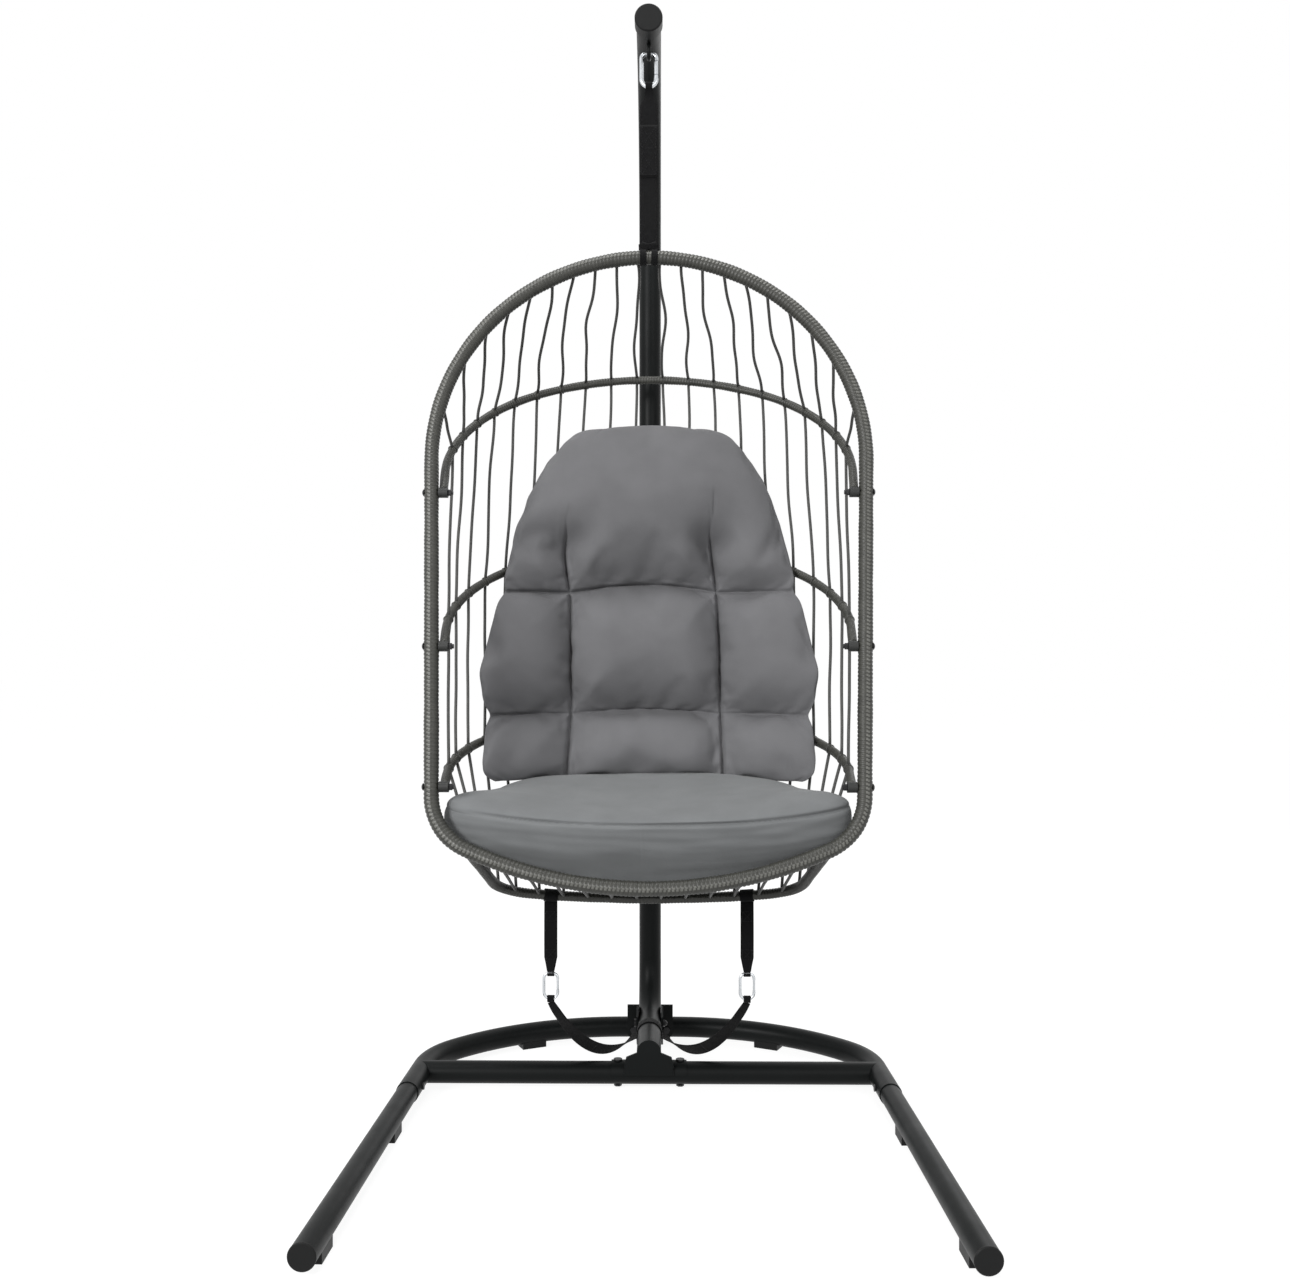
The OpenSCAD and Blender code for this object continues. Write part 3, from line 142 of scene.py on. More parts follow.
def hoop_run(drop):
    """A hoop's bends at its apex and shoulder, solved so that it ends at its eye inside the rim."""
    half = SIDE_X - (drop - ARCH_DROP) * math.tan(SIDE_LEAN) - RIM_R - EYE_GAP - EYE_HALF
    end_turn = APEX_TURN + SHOULDER_TURN
    shoulder_x = SHOULDER_R * (math.sin(end_turn) - math.sin(APEX_TURN))
    shoulder_drop = SHOULDER_R * (math.cos(APEX_TURN) - math.cos(end_turn))
    share = (1 - math.cos(APEX_TURN)) / math.sin(APEX_TURN)
    end = (HOOP_DEPTH - shoulder_drop - share * (half - shoulder_x)) / (
        math.sin(end_turn) - share * math.cos(end_turn))
    apex = (half - shoulder_x - end * math.cos(end_turn)) / math.sin(APEX_TURN)
    return [(apex, APEX_TURN), (SHOULDER_R, SHOULDER_TURN), (end,)]


def signed(x, s):
    return math.copysign(x, s) if s else 0.0


def u_curve(drop, depth, rise, run):
    """A U that rises from the rim's plane towards the back: a point at a signed length from its middle."""
    origin = in_rim(0, drop)

    def point(s):
        x, d = along(run, abs(s))
        d = depth - d
        return origin + Vector((signed(x, s), d * math.cos(rise), d * math.sin(rise)))
    return point


def rim_point(s):
    """A point on the rim, at a signed length from the middle of its bottom."""
    x, d = along(RIM_RUN, abs(s))
    p = in_rim(0.0, RIM_DROP - d)
    p.x = signed(x, s)
    return p


def arch_point(x):
    """A point on the rim's arch."""
    a = math.asin(x / ARCH_R)
    return in_rim(ARCH_R * math.sin(a), ARCH_R * (1 - math.cos(a)))


HOOP_RUNS = [hoop_run(drop) for drop in HOOP_DROP]
hoop_point = [u_curve(HOOP_DROP[k], HOOP_DEPTH, HOOP_RISE[k], HOOP_RUNS[k]) for k in range(3)]
seat_point = u_curve(SEAT_DROP, SEAT_DEPTH, -SEAT_FALL, SEAT_RUN)

# ---- Materials ----

# A weave's periods in metres across and along, how uneven it is, and how much it darkens the colour: painted
# shade in its hollows and painted highlight on its crests.
Weave = namedtuple("Weave", "across along uneven shade")
# Streaks along a strip: how strong they are, their noise scale, and its stretch.
Streaks = namedtuple("Streaks", "strength scale stretch")
MAT = {}


def set_values(node, **values):
    """Sets input sockets; a socket's name is given with _ for each space."""
    for name, value in values.items():
        node.inputs[name.replace("_", " ")].default_value = value


def add_node(nt, kind, links=(), **values):
    """A shader node with some inputs linked and others set."""
    node = nt.nodes.new("ShaderNode" + kind)
    set_values(node, **values)
    for socket, source in links:
        nt.links.new(source, node.inputs[socket])
    return node


class Shader:
    """Adds the procedural nodes of one material."""

    def __init__(self, nt, use_uv):
        self.nt = nt
        self.where = add_node(nt, "TexCoord").outputs["UV" if use_uv else "Object"]

    def grain(self, scale, detail=3.0, roughness=0.55, stretch=None):
        where = self.where
        if stretch:
            where = add_node(self.nt, "Mapping", [("Vector", where)], Scale=stretch).outputs["Vector"]
        return add_node(self.nt, "TexNoise", [("Vector", where)], Scale=scale, Detail=detail,
                        Roughness=roughness).outputs["Fac"]

    def ramp(self, fac, low, high, start=0.3, stop=0.7):
        n = add_node(self.nt, "ValToRGB", [("Fac", fac)])
        for element, place, colour in zip(n.color_ramp.elements, (start, stop), (low, high)):
            element.position = place
            element.color = (*colour, 1)
        return n.outputs["Color"]

    def times(self, colour, other, share):
        n = self.nt.nodes.new("ShaderNodeMix")
        n.data_type, n.blend_type = "RGBA", "MULTIPLY"
        n.inputs["Factor"].default_value = share
        self.nt.links.new(colour, n.inputs["A"])
        self.nt.links.new(other, n.inputs["B"])
        return n.outputs["Result"]

    def woven(self, weave):
        """The height of a weave: two crossed waves."""
        heights = []
        for axis, period in (("X", weave.across), ("Y", weave.along)):
            wave = add_node(self.nt, "TexWave", [("Vector", self.where)], Scale=math.tau / (20.0 * period),
                            Distortion=weave.uneven, Detail=1.0, Detail_Scale=2.0)
            wave.wave_type, wave.bands_direction, wave.wave_profile = "BANDS", axis, "SIN"
            heights.append(wave.outputs["Fac"])
        product = add_node(self.nt, "Math", enumerate(heights))
        product.operation = "MULTIPLY"
        return product.outputs[0]


def material(name, base, rough, bump, metallic=0.0, vary=0.12, vary_scale=18.0, bump_scale=900.0,
             bump_depth=0.0004, rough_vary=0.08, sheen=0.0, specular=0.5, use_uv=False, weave=None,
             streaks=None):
    """A Principled material with noise in its colour and roughness, and a fine bump or a weave."""
    m = MAT[name] = bpy.data.materials.new(name)
    m.use_nodes = True
    nt = m.node_tree
    bsdf = nt.nodes["Principled BSDF"]
    set_values(bsdf, Metallic=metallic, Specular_IOR_Level=specular, Sheen_Weight=sheen, Sheen_Roughness=0.5)
    sh = Shader(nt, use_uv)
    low, high = (tuple(c * (1 + sign * vary) for c in base) for sign in (-1, 1))
    colour = sh.ramp(sh.grain(vary_scale), low, high)
    if weave:
        height = sh.woven(weave)
        # painted shade in the weave's hollows and painted highlight on its crests
        colour = sh.times(colour, sh.ramp(height, (0.55,) * 3, (1.35,) * 3, 0.0, 0.8), weave.shade)
    else:
        height = sh.grain(bump_scale, 2.0)
    if streaks:
        strip = sh.grain(streaks.scale, 3.0, 0.6, streaks.stretch)
        colour = sh.times(colour, sh.ramp(strip, (0.6,) * 3, (1.4,) * 3), streaks.strength)
    spread = add_node(nt, "MapRange", [("Value", sh.grain(vary_scale * 2.7))],
                      To_Min=rough - rough_vary, To_Max=rough + rough_vary)
    relief = add_node(nt, "Bump", [("Height", height)], Strength=bump, Distance=bump_depth)
    nt.links.new(colour, bsdf.inputs["Base Color"])
    nt.links.new(spread.outputs["Result"], bsdf.inputs["Roughness"])
    nt.links.new(relief.outputs["Normal"], bsdf.inputs["Normal"])


material("stand_paint", (0.005, 0.006, 0.006), 0.42, vary=0.15, vary_scale=9, bump=0.25, bump_scale=1400,
         bump_depth=0.0002, specular=0.12)
material("black_plastic", (0.0055, 0.0058, 0.0058), 0.5, bump=0.3, bump_scale=2200, bump_depth=0.0002,
         specular=0.2)
material("zinc_steel", (0.60, 0.62, 0.64), 0.28, metallic=1.0, vary=0.1, vary_scale=60, bump=0.15,
         bump_scale=700, bump_depth=0.0001, rough_vary=0.1)
material("black_steel", (0.016, 0.016, 0.017), 0.4, metallic=0.3, vary=0.2, vary_scale=120, bump=0.2,
         bump_depth=0.0001, specular=0.35)
material("frame_paint", (0.02, 0.021, 0.02), 0.5, bump=0.2, specular=0.4)
material("webbing", (0.0055, 0.0055, 0.006), 0.85, vary=0.25, vary_scale=60, use_uv=True,
         weave=Weave(0.0016, 0.0011, 0.6, 0.6), bump=0.8, bump_depth=0.0005, sheen=0.05, specular=0.15)
material("thread", (0.018, 0.018, 0.019), 0.7, vary=0.2, vary_scale=300, bump=0.4, bump_scale=3000,
         specular=0.3)
material("wicker", (0.040, 0.040, 0.034), 0.42, vary=0.22, vary_scale=55, use_uv=True, bump=0.3,
         bump_scale=1200, bump_depth=0.0002, rough_vary=0.12, specular=0.45,
         streaks=Streaks(0.7, 60.0, (1.0, 12.0, 1.0)))
# painted highlight: a pale copy of the wicker for the ticks along the rim's front
material("wicker_painted_highlight", (0.14, 0.14, 0.127), 0.42, vary=0.2, vary_scale=70, use_uv=True, bump=0.3,
         bump_scale=1200, bump_depth=0.0002, rough_vary=0.12, streaks=Streaks(0.6, 90.0, (1.0, 9.0, 1.0)))
material("cord", (0.08, 0.08, 0.076), 0.55, vary=0.2, vary_scale=40, use_uv=True,
         weave=Weave(0.0021, 0.0026, 0.8, 0.5), bump=0.5, specular=0.4)
material("knot", (0.07, 0.07, 0.066), 0.6, vary=0.2, vary_scale=200, bump=0.4, specular=0.35)
FABRIC = dict(vary=0.07, vary_scale=14, use_uv=True, weave=Weave(0.0011, 0.0011, 0.5, 0.35), bump=0.35,
              bump_depth=0.0003, sheen=0.12, specular=0.3, rough_vary=0.05)
material("back_fabric", (0.172, 0.172, 0.179), 0.86, **FABRIC)
material("seat_fabric", (0.2, 0.208, 0.212), 0.84, **FABRIC)

slot_of = {s["node"]: s["material_slot"] for s in frame["record"]["subparts"]}
for node, obj in frame["nodes"].items():
    obj.data.materials.clear()
    obj.data.materials.append(MAT[slot_of[node]])


# ---- Mesh helpers ----

def clamp(x):
    return max(0.0, min(1.0, x))


def ease(x):
    x = clamp(x)
    return x * x * (3 - 2 * x)


def make(name, verts, faces, mat, uvs=None, uvs_by_face=None, smooth=True):
    """A mesh object, with one (u, v) per vertex or a list of them per face."""
    me = bpy.data.meshes.new(name)
    me.from_pydata([tuple(v) for v in verts], [], faces)
    if uvs:
        index = np.empty(len(me.loops), np.int32)
        me.loops.foreach_get("vertex_index", index)
        per_loop = np.array(uvs, np.float32)[index]
    if uvs_by_face:
        per_loop = np.array([corner for face in uvs_by_face for corner in face], np.float32)
    if uvs or uvs_by_face:
        me.uv_layers.new(name="UVMap").data.foreach_set("uv", per_loop.ravel())
    if smooth:
        me.polygons.foreach_set("use_smooth", [True] * len(me.polygons))
    me.materials.append(mat)
    me.validate()
    o = bpy.data.objects.new(name, me)
    bpy.context.scene.collection.objects.link(o)
    return o


class Parts:
    """Gathers several shapes with UVs into one mesh object."""

    def __init__(self):
        self.verts, self.faces, self.uvs, self.mats = [], [], [], []

    def add(self, verts, faces, uvs, mat=0):
        n = len(self.verts)
        self.verts += [tuple(v) for v in verts]
        self.faces += [tuple(i + n for i in f) for f in faces]
        self.uvs += uvs
        self.mats += [mat] * len(faces)

    def build(self, name, *mats):
        o = make(name, self.verts, self.faces, mats[0], self.uvs)
        for m in mats[1:]:
            o.data.materials.append(m)
        if any(self.mats):
            o.data.polygons.foreach_set("material_index", self.mats)
        return o


def array(vectors):
    return np.array([tuple(v) for v in vectors], float)


def square_to(t, direction):
    """Unit vectors along direction, made square to the tangents t."""
    v = np.broadcast_to(direction, t.shape)
    v = v - t * (v * t).sum(1)[:, None]
    return v / np.linalg.norm(v, axis=1)[:, None]


def path_frame(points):
    """A path's points, unit tangents and lengths from its start."""
    p = array(points)
    t = np.gradient(p, axis=0)
    s = np.concatenate([[0], np.cumsum(np.linalg.norm(np.diff(p, axis=0), axis=1))])
    return p, t / np.linalg.norm(t, axis=1)[:, None], s


def skin(rows, sides):
    """Faces of a tube of rows of points, with a cap at each end."""
    faces = []
    for i in range(rows - 1):
        for k in range(sides):
            a, c = i * sides + k, i * sides + (k + 1) % sides
            faces.append((a, c, c + sides, a + sides))
    faces.append(tuple(reversed(range(sides))))
    faces.append(tuple((rows - 1) * sides + k for k in range(sides)))
    return faces


TUBE_UV = 0.006  # U per radian round a tube, in metres


def tube(parts, points, side, radius, sides=10, mat=0):
    """A round tube; side is roughly square to the path, and radius is a number or f(length, angle)."""
    p, t, s = path_frame(points)
    b = square_to(t, np.array(side, float))
    n = np.cross(t, b)
    ang = np.arange(sides) * math.tau / sides
    r = radius(s[:, None], ang[None, :]) if callable(radius) else np.full((len(p), sides), radius)
    round_it = np.cos(ang)[None, :, None] * b[:, None, :] + np.sin(ang)[None, :, None] * n[:, None, :]
    ring = p[:, None, :] + r[..., None] * round_it
    uvs = [(a * TUBE_UV, si) for si in s for a in ang]
    parts.add(ring.reshape(-1, 3), skin(len(p), sides), uvs, mat)


# half of a strap's section as shares of its half width and half thickness: a soft crown and rounded edges
STRAP_FACE = [(-1.0, 0.0), (-1.0, 0.7), (-0.93, 1.0), (-0.5, 0.92), (0.0, 0.9), (0.5, 0.92), (0.93, 1.0),
              (1.0, 0.7)]
STRAP_SECTION = STRAP_FACE + [(-a, -b) for a, b in STRAP_FACE]


def ribbon(parts, points, across, width, thick):
    """A flat strap along points; across is the direction of its width, and may be a list, as width may."""
    p, t, s = path_frame(points)
    w = square_to(t, np.array(across, float) if isinstance(across, Vector) else array(across))
    n = np.cross(t, w)
    half = np.broadcast_to(np.array(width, float), (len(p),)) / 2
    verts, uvs = [], []
    for i in range(len(p)):
        for a, b in STRAP_SECTION:
            verts.append(p[i] + w[i] * half[i] * a + n[i] * (thick / 2) * b)
            uvs.append((a * half[i], s[i]))
    parts.add(verts, skin(len(p), len(STRAP_SECTION)), uvs)


def smooth_path(points, count):
    """Catmull-Rom through the given points, resampled evenly."""
    p = array(points)
    ext = np.vstack([2 * p[0] - p[1], p, 2 * p[-1] - p[-2]])
    fine = []
    for i in range(1, len(ext) - 2):
        a, b, c, d = ext[i - 1:i + 3]
        for k in range(24):
            t = k / 24
            fine.append(0.5 * ((2 * b) + (c - a) * t + (2 * a - 5 * b + 4 * c - d) * t * t
                               + (3 * b - a - 3 * c + d) * t ** 3))
    fine = np.array(fine + [p[-1]])
    s = np.concatenate([[0], np.cumsum(np.linalg.norm(np.diff(fine, axis=0), axis=1))])
    places = np.linspace(0, s[-1], count)
    return [Vector(tuple(np.interp(place, s, fine[:, k]) for k in range(3))) for place in places]


# ---- Wicker wound on the rim, the hoops and the seat frame ----

# A winding's outer radius, its pitch, the depth of its groove, and the sides of its mesh.
Winding = namedtuple("Winding", "radius pitch groove sides")
RIM_WINDING = Winding(RIM_R + 0.0003, 0.0068, 0.0009, 24)
HOOP_WINDING = Winding(HOOP_R + 0.0002, 0.0055, 0.0006, 16)
SEAT_WINDING = Winding(SEAT_R + 0.0002, 0.006, 0.0007, 20)
STEPS_A_TURN = 5
# faces round the rim, and steps along each turn, that carry the painted highlight
PAINTED_HIGHLIGHT_FACES, PAINTED_HIGHLIGHT_STEPS = (12, 13), (1, 2, 3)  # round the rim, and along each turn
HOOP_WRAP_END, SEAT_WRAP_END = 0.0095, 0.010  # where a wrap stops short of its tube's end


def wound(s, ang, winding):
    """Radius of a tube wound with flat strip: shallow bands with a helical groove between them."""
    phase = s / winding.pitch + ang / math.tau
    edge = np.abs(np.cos(math.pi * phase)) ** 8
    bow = 0.25 * np.abs(np.cos(math.pi * phase)) ** 2
    uneven = 0.0002 * np.sin(s * 41.0) + 0.00015 * np.sin(s * 97.0 + ang * 2)
    return winding.radius - winding.groove * (edge + bow) + uneven


def wrap(name, node, point, normal, reach, winding, painted_highlight_faces=()):
    """A wound tube to both sides of a curve's middle; on some faces pale ticks run under and over, a painted
    highlight of the wound strips.
    """
    steps = int(2 * reach / (winding.pitch / STEPS_A_TURN))
    points = [point(-reach + 2 * reach * k / steps) for k in range(steps + 1)]
    parts = Parts()
    tube(parts, points, normal, lambda s, ang: wound(s, ang, winding), winding.sides)
    # the pale ticks of painted highlight
    for i in range(steps):
        for k in painted_highlight_faces:
            if (i + k) % STEPS_A_TURN in PAINTED_HIGHLIGHT_STEPS:
                parts.mats[i * winding.sides + k] = 1
    o = parts.build(name, MAT["wicker"], MAT["wicker_painted_highlight"])
    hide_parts(node)
    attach(o, "basket")


rim_normal = Vector((0, math.cos(LEAN), -math.sin(LEAN)))
wrap("rim_wicker", "rim_wrap", rim_point, rim_normal, run_length(RIM_RUN), RIM_WINDING, PAINTED_HIGHLIGHT_FACES)
for k, name in enumerate(HOOP_NAMES):
    hoop_normal = Vector((0, -math.sin(HOOP_RISE[k]), math.cos(HOOP_RISE[k])))
    reach = run_length(HOOP_RUNS[k]) - HOOP_WRAP_END
    wrap(f"{name}_hoop_wicker", f"{name}_hoop_wrap", hoop_point[k], hoop_normal, reach, HOOP_WINDING)
seat_normal = Vector((0, math.sin(SEAT_FALL), math.cos(SEAT_FALL)))
reach = run_length(SEAT_RUN) - SEAT_WRAP_END
wrap("seat_frame_wicker", "seat_frame_wrap", seat_point, seat_normal, reach, SEAT_WINDING)

# ---- Cords ----

rnd = random.Random(7)
FULL_SWAY_LENGTH = 0.2  # a shorter cord sways less

# A curve that cords end on, how far apart they are along it, and the radius of its tube.
Rail = namedtuple("Rail", "point pitch radius")
ARCH, RIM_BOTTOM = Rail(arch_point, 0.039, RIM_R), Rail(rim_point, 0.045, RIM_R)
HOOP_RAILS = [Rail(hoop_point[k], pitch, HOOP_R) for k, pitch in enumerate((0.052, 0.056, 0.056))]
SEAT_RAIL = Rail(seat_point, 0.045, SEAT_R)

# Cords between two rails: how many on each side, how far they sway, how many steps each has, and
# whether they are hitched round the upper rail.
Cords = namedtuple("Cords", "node top foot count sway steps hitched")
CORDS = [
    Cords("upper_back_cords", ARCH, HOOP_RAILS[0], 10, 0.0085, 26, False),
    Cords("middle_back_cords", HOOP_RAILS[0], HOOP_RAILS[1], 10, 0.0036, 20, True),
    Cords("lower_back_cords", HOOP_RAILS[1], HOOP_RAILS[2], 10, 0.0026, 18, True),
    Cords("seat_back_cords", HOOP_RAILS[2], SEAT_RAIL, 10, 0.0016, 16, True),
    Cords("under_seat_cords", SEAT_RAIL, RIM_BOTTOM, 6, 0.0008, 12, False),
]


def cord(parts, a, b, sway, steps):
    """A cord from a to b, bent a little from side to side."""
    v = b - a
    u = v.normalized()
    lateral = X_AXIS - u * u.x
    lateral.normalize()
    other = u.cross(lateral)
    p1, p2, p3 = (rnd.uniform(0, math.tau) for _ in range(3))
    waves = rnd.uniform(0.45, 1.05)
    sway *= min(1.0, (v.length / FULL_SWAY_LENGTH) ** 1.5)
    a1, a2 = sway * rnd.uniform(0.55, 1.15), sway * rnd.uniform(0.08, 0.25)
    points = []
    for k in range(steps + 1):
        t = k / steps
        fade = math.sin(math.pi * t) ** 0.8 if 0 < t < 1 else 0.0
        x = fade * (a1 * math.sin(math.tau * t * waves + p1) + a2 * math.sin(math.tau * t * 2.1 + p2))
        y = fade * 0.4 * a1 * math.sin(math.tau * t * waves + p3)
        points.append(a + v * t + lateral * x + other * y)
    tube(parts, points, lateral, CORD_R, 8)


def hitch(parts, rail, s):
    """The cord's turn round a rail's tube, at a length along it."""
    centre = rail.point(s)
    t = (rail.point(s + 0.001) - rail.point(s - 0.001)).normalized()
    side = Z_AXIS - t * t.z
    side.normalize()
    n = t.cross(side)
    ring = rail.radius + CORD_R * 0.05
    shift, turn = rnd.uniform(-0.001, 0.001), rnd.uniform(-0.5, 0.5)
    points = []
    for k in range(19):
        a = k / 18 * math.tau * 0.98
        slide = shift + 0.0022 * math.sin(a / 2 + turn)
        points.append(centre + t * slide + (side * math.cos(a) + n * math.sin(a)) * ring)
    tube(parts, points, t, CORD_R * 0.5, 8)


def lay_cords(c):
    parts, hitches = Parts(), Parts()
    for side in (-1, 1):
        for k in range(c.count):
            row = k + 0.5
            top_s, foot_s = side * row * c.top.pitch, side * row * c.foot.pitch
            top, foot = c.top.point(top_s), c.foot.point(foot_s)
            u = (foot - top).normalized()
            # the outer rows hang straighter
            sway = c.sway * min(1.0, 1.6 - 0.13 * row)
            cord(parts, top + u * c.top.radius, foot - u * c.foot.radius, sway, c.steps)
            if c.hitched:
                hitch(hitches, c.top, top_s)
    o = parts.build(c.node + "_laid", MAT["cord"])
    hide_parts(c.node)
    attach(o, "basket")
    if c.hitched:
        o = hitches.build(c.node + "_hitches", MAT["knot"])
        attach(o, "basket")


for cords in CORDS:
    lay_cords(cords)

# ---- Webbing ----

STRAP_T = 0.0018
SLING_W, SAFETY_W, BOW_W = 0.033, 0.025, 0.0125  # a strap's width, and where it goes through a carabiner
CLIP_BOW_Z = 1.8523
# where the right upper strap hangs from the seat frame, and how far along the frame that is
SPOT, STRAP_PLACE = Vector((0.18031, 0.170746, 0.364540)), 0.182
UPPER_STRAP_LENGTH, SAFETY_CLIP_LENGTH, SAFETY_ROD_R = 0.136, 0.052, 0.00275
SAFETY_TOP_Z = SPOT.z - HOOP_R - UPPER_STRAP_LENGTH
SAFETY_BOW_Z = SAFETY_TOP_Z - SAFETY_CLIP_LENGTH + 2 * SAFETY_ROD_R
POLE_R, FOOT_Y, FOOT_Z = 0.0225, 0.300, 0.0735


def arc(centre, radius, a0, a1, count):
    """Points on a circle in the YZ plane, angles from +Y towards +Z, in degrees."""
    turns = [math.radians(a0 + (a1 - a0) * k / count) for k in range(count + 1)]
    return [centre + Vector((0, radius * math.cos(a), radius * math.sin(a))) for a in turns]


def stitches(parts, centre, across, length, pitch=0.0045):
    """Rows of stitches in a box with a cross, on the front face of a hanging strap."""
    hw, hl = across / 2, length / 2
    corners = [(-hw, -hl), (hw, -hl), (hw, hl), (-hw, hl)]
    rows = [(corners[k], corners[(k + 1) % 4]) for k in range(4)]
    rows += [(corners[0], corners[2]), (corners[1], corners[3])]
    for a, b in rows:
        count = max(1, int(math.hypot(b[0] - a[0], b[1] - a[1]) / pitch))
        for k in range(count):
            t0, t1 = (k + 0.15) / count, (k + 0.8) / count
            points = []
            for j in range(4):
                q = t0 + (t1 - t0) * j / 3
                lift = 0.0003 + 0.0004 * math.sin(math.pi * j / 3)
                x, z = a[0] + (b[0] - a[0]) * q, a[1] + (b[1] - a[1]) * q
                points.append(centre + X_AXIS * x + Z_AXIS * z - Y_AXIS * lift)
            tube(parts, points, -Y_AXIS, 0.00035, 5, mat=1)


def sling_ply(low, neck, side):
    """One ply of the hanging strap, in front (-1) or behind (1): its points and widths."""
    points, widths = [], []
    for z in np.linspace(low, neck, 40):
        points.append(Vector((0, HOOK_Y + side * 0.0011 - 0.0006 * math.sin(z * 60), z)))
        widths.append(SLING_W - 0.01575 * max(0.0, (z - (neck - 0.016)) / 0.016))
    return points, widths


def sling_hitch(sling, rim_top):
    """The hitch round the rim's top: two bands with their leads, and a band across in front."""
    for side in (-1, 1):
        shift = Vector((side * 0.0105, 0, 0))
        ribbon(sling, arc(rim_top + shift, RIM_R + 0.0014, 78, 442, 36), X_AXIS, 0.0115, STRAP_T)
        lead = smooth_path([rim_top + shift + Vector((0, -RIM_R * 0.6, RIM_R * 0.95)),
                            rim_top + shift * 0.9 + Vector((0, -0.004, 0.0185)),
                            rim_top + shift * 0.6 + Vector((0, -0.0015, 0.027))], 8)
        ribbon(sling, lead, X_AXIS, 0.014, STRAP_T)
    band = [(-0.0175, 0.001, 0.0185), (-0.0165, -0.006, 0.0180), (0, -0.0085, 0.0175),
            (0.0165, -0.006, 0.0180), (0.0175, 0.001, 0.0185)]
    ribbon(sling, smooth_path([rim_top + Vector(p) for p in band], 20), Vector((0, -0.3, 1)), 0.0095, STRAP_T)


def hanging_strap():
    """One ribbon up the front, round the carabiner's bow and down the back, with its stitched patch."""
    sling = Parts()
    low, neck = RIM_TOP_Z + 0.0145, CLIP_BOW_Z - 0.020
    front, front_w = sling_ply(low, neck, -1)
    rear, rear_w = sling_ply(low, neck, 1)
    bow = arc(Vector((0, HOOK_Y, CLIP_BOW_Z)), 0.004 + 0.0021 + STRAP_T / 2, -110, -430, 28)
    ribbon(sling, front + bow + rear[::-1], X_AXIS, front_w + [BOW_W] * len(bow) + rear_w[::-1], STRAP_T)
    patch = [Vector((0, HOOK_Y - 0.0030, z)) for z in np.linspace(1.684, 1.780, 16)]
    ribbon(sling, patch, X_AXIS, SLING_W + 0.0005, 0.0016)
    for z in (1.708, 1.757):
        stitches(sling, Vector((0, HOOK_Y - 0.0038, z)), 0.026, 0.040)
    sling_hitch(sling, Vector((0, HOOK_Y, RIM_TOP_Z)))
    o = sling.build("sling_webbing", MAT["webbing"], MAT["thread"])
    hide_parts("hanging_strap")
    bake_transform(o)


def upper_strap(side, word):
    """A doubled strap from its loop round the seat frame to the safety carabiner's top."""
    parts = Parts()
    s = side * STRAP_PLACE
    c = seat_point(s)
    t = (seat_point(s + 0.001) - seat_point(s - 0.001)).normalized()
    up = (Z_AXIS - t * t.z).normalized()
    out = t.cross(up)
    loop_r, loop = SEAT_R + 0.0006 + STRAP_T / 2, []
    for k in range(37):
        a = math.radians(-90 + 372 * k / 36)
        loop.append(c + (out * math.cos(a) + up * math.sin(a)) * loop_r)
    ribbon(parts, loop, t, 0.024, STRAP_T)
    top = c + Vector((0, 0, -SEAT_R - 0.002))
    bar = Vector((side * SPOT.x, SPOT.y, SAFETY_TOP_Z))
    across = [t] * 4 + [X_AXIS] * 26
    widths = [0.024 - 0.011 * max(0.0, (k - 23) / 6) for k in range(30)]
    for ply in (-1, 1):
        bend = [top, top + Vector((0, ply * 0.0012, -0.012)),
                (top + bar) / 2 + Vector((0, ply * 0.0012 - 0.0015, 0)),
                bar + Vector((0, ply * 0.0012, 0.022)), bar + Vector((0, ply * 0.0046, 0.004))]
        ribbon(parts, smooth_path(bend, 30), across, widths, STRAP_T * 0.95)
    ribbon(parts, arc(bar, SAFETY_ROD_R + 0.0008 + STRAP_T / 2, 20, -200, 18), X_AXIS, BOW_W, STRAP_T)
    for z in (0.036, 0.106):
        stitches(parts, bar + Vector((0, -0.0036, z)), 0.017, 0.018, 0.0035)
    o = parts.build(f"{word}_upper_webbing", MAT["webbing"], MAT["thread"])
    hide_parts(f"{word}_upper_strap")
    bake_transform(o)


def foot_loop():
    """The lower safety strap's loop round the pole's foot."""
    parts = Parts()
    r = POLE_R + 0.0003 + STRAP_T / 2
    turns = [math.tau * k / 48 * 1.02 for k in range(49)]
    loop = [Vector((r * math.sin(a), FOOT_Y, FOOT_Z - r * math.cos(a))) for a in turns]
    ribbon(parts, loop, Y_AXIS, SAFETY_W, STRAP_T)
    o = parts.build("foot_loop_webbing", MAT["webbing"])
    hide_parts("lower_safety_strap")
    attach(o, "stand")


ARM_SAG, ARM_TIP, ARM_STEPS = 0.054, math.radians(58), 60


def arm_route(side, start, end):
    """A slack arm from the carabiner to the foot: its points, the directions across it, and its widths."""
    level = Vector((end.x - start.x, end.y - start.y, 0))
    reach = level.length
    level.normalize()
    face = Vector((-level.y, level.x, 0))
    face *= 1 if face.x * -side > 0 else -1
    points, across, widths = [], [], []
    for k in range(ARM_STEPS + 1):
        t = k / ARM_STEPS
        z = start.z + (end.z - start.z) * t - 4 * ARM_SAG * t * (1 - t)
        points.append(Vector((start.x, start.y, z)) + level * (reach * t))
        turn = ease(t / 0.22)
        tip = ARM_TIP * math.sin(math.pi * t) ** 0.7 * turn
        turned = face * math.cos(tip) + Z_AXIS * math.sin(tip)
        across.append((X_AXIS * (-side * (1 - turn)) + turned * turn).normalized())
        widths.append(BOW_W + (SAFETY_W - BOW_W) * min(1.0, t / 0.16))
    return points, across, widths


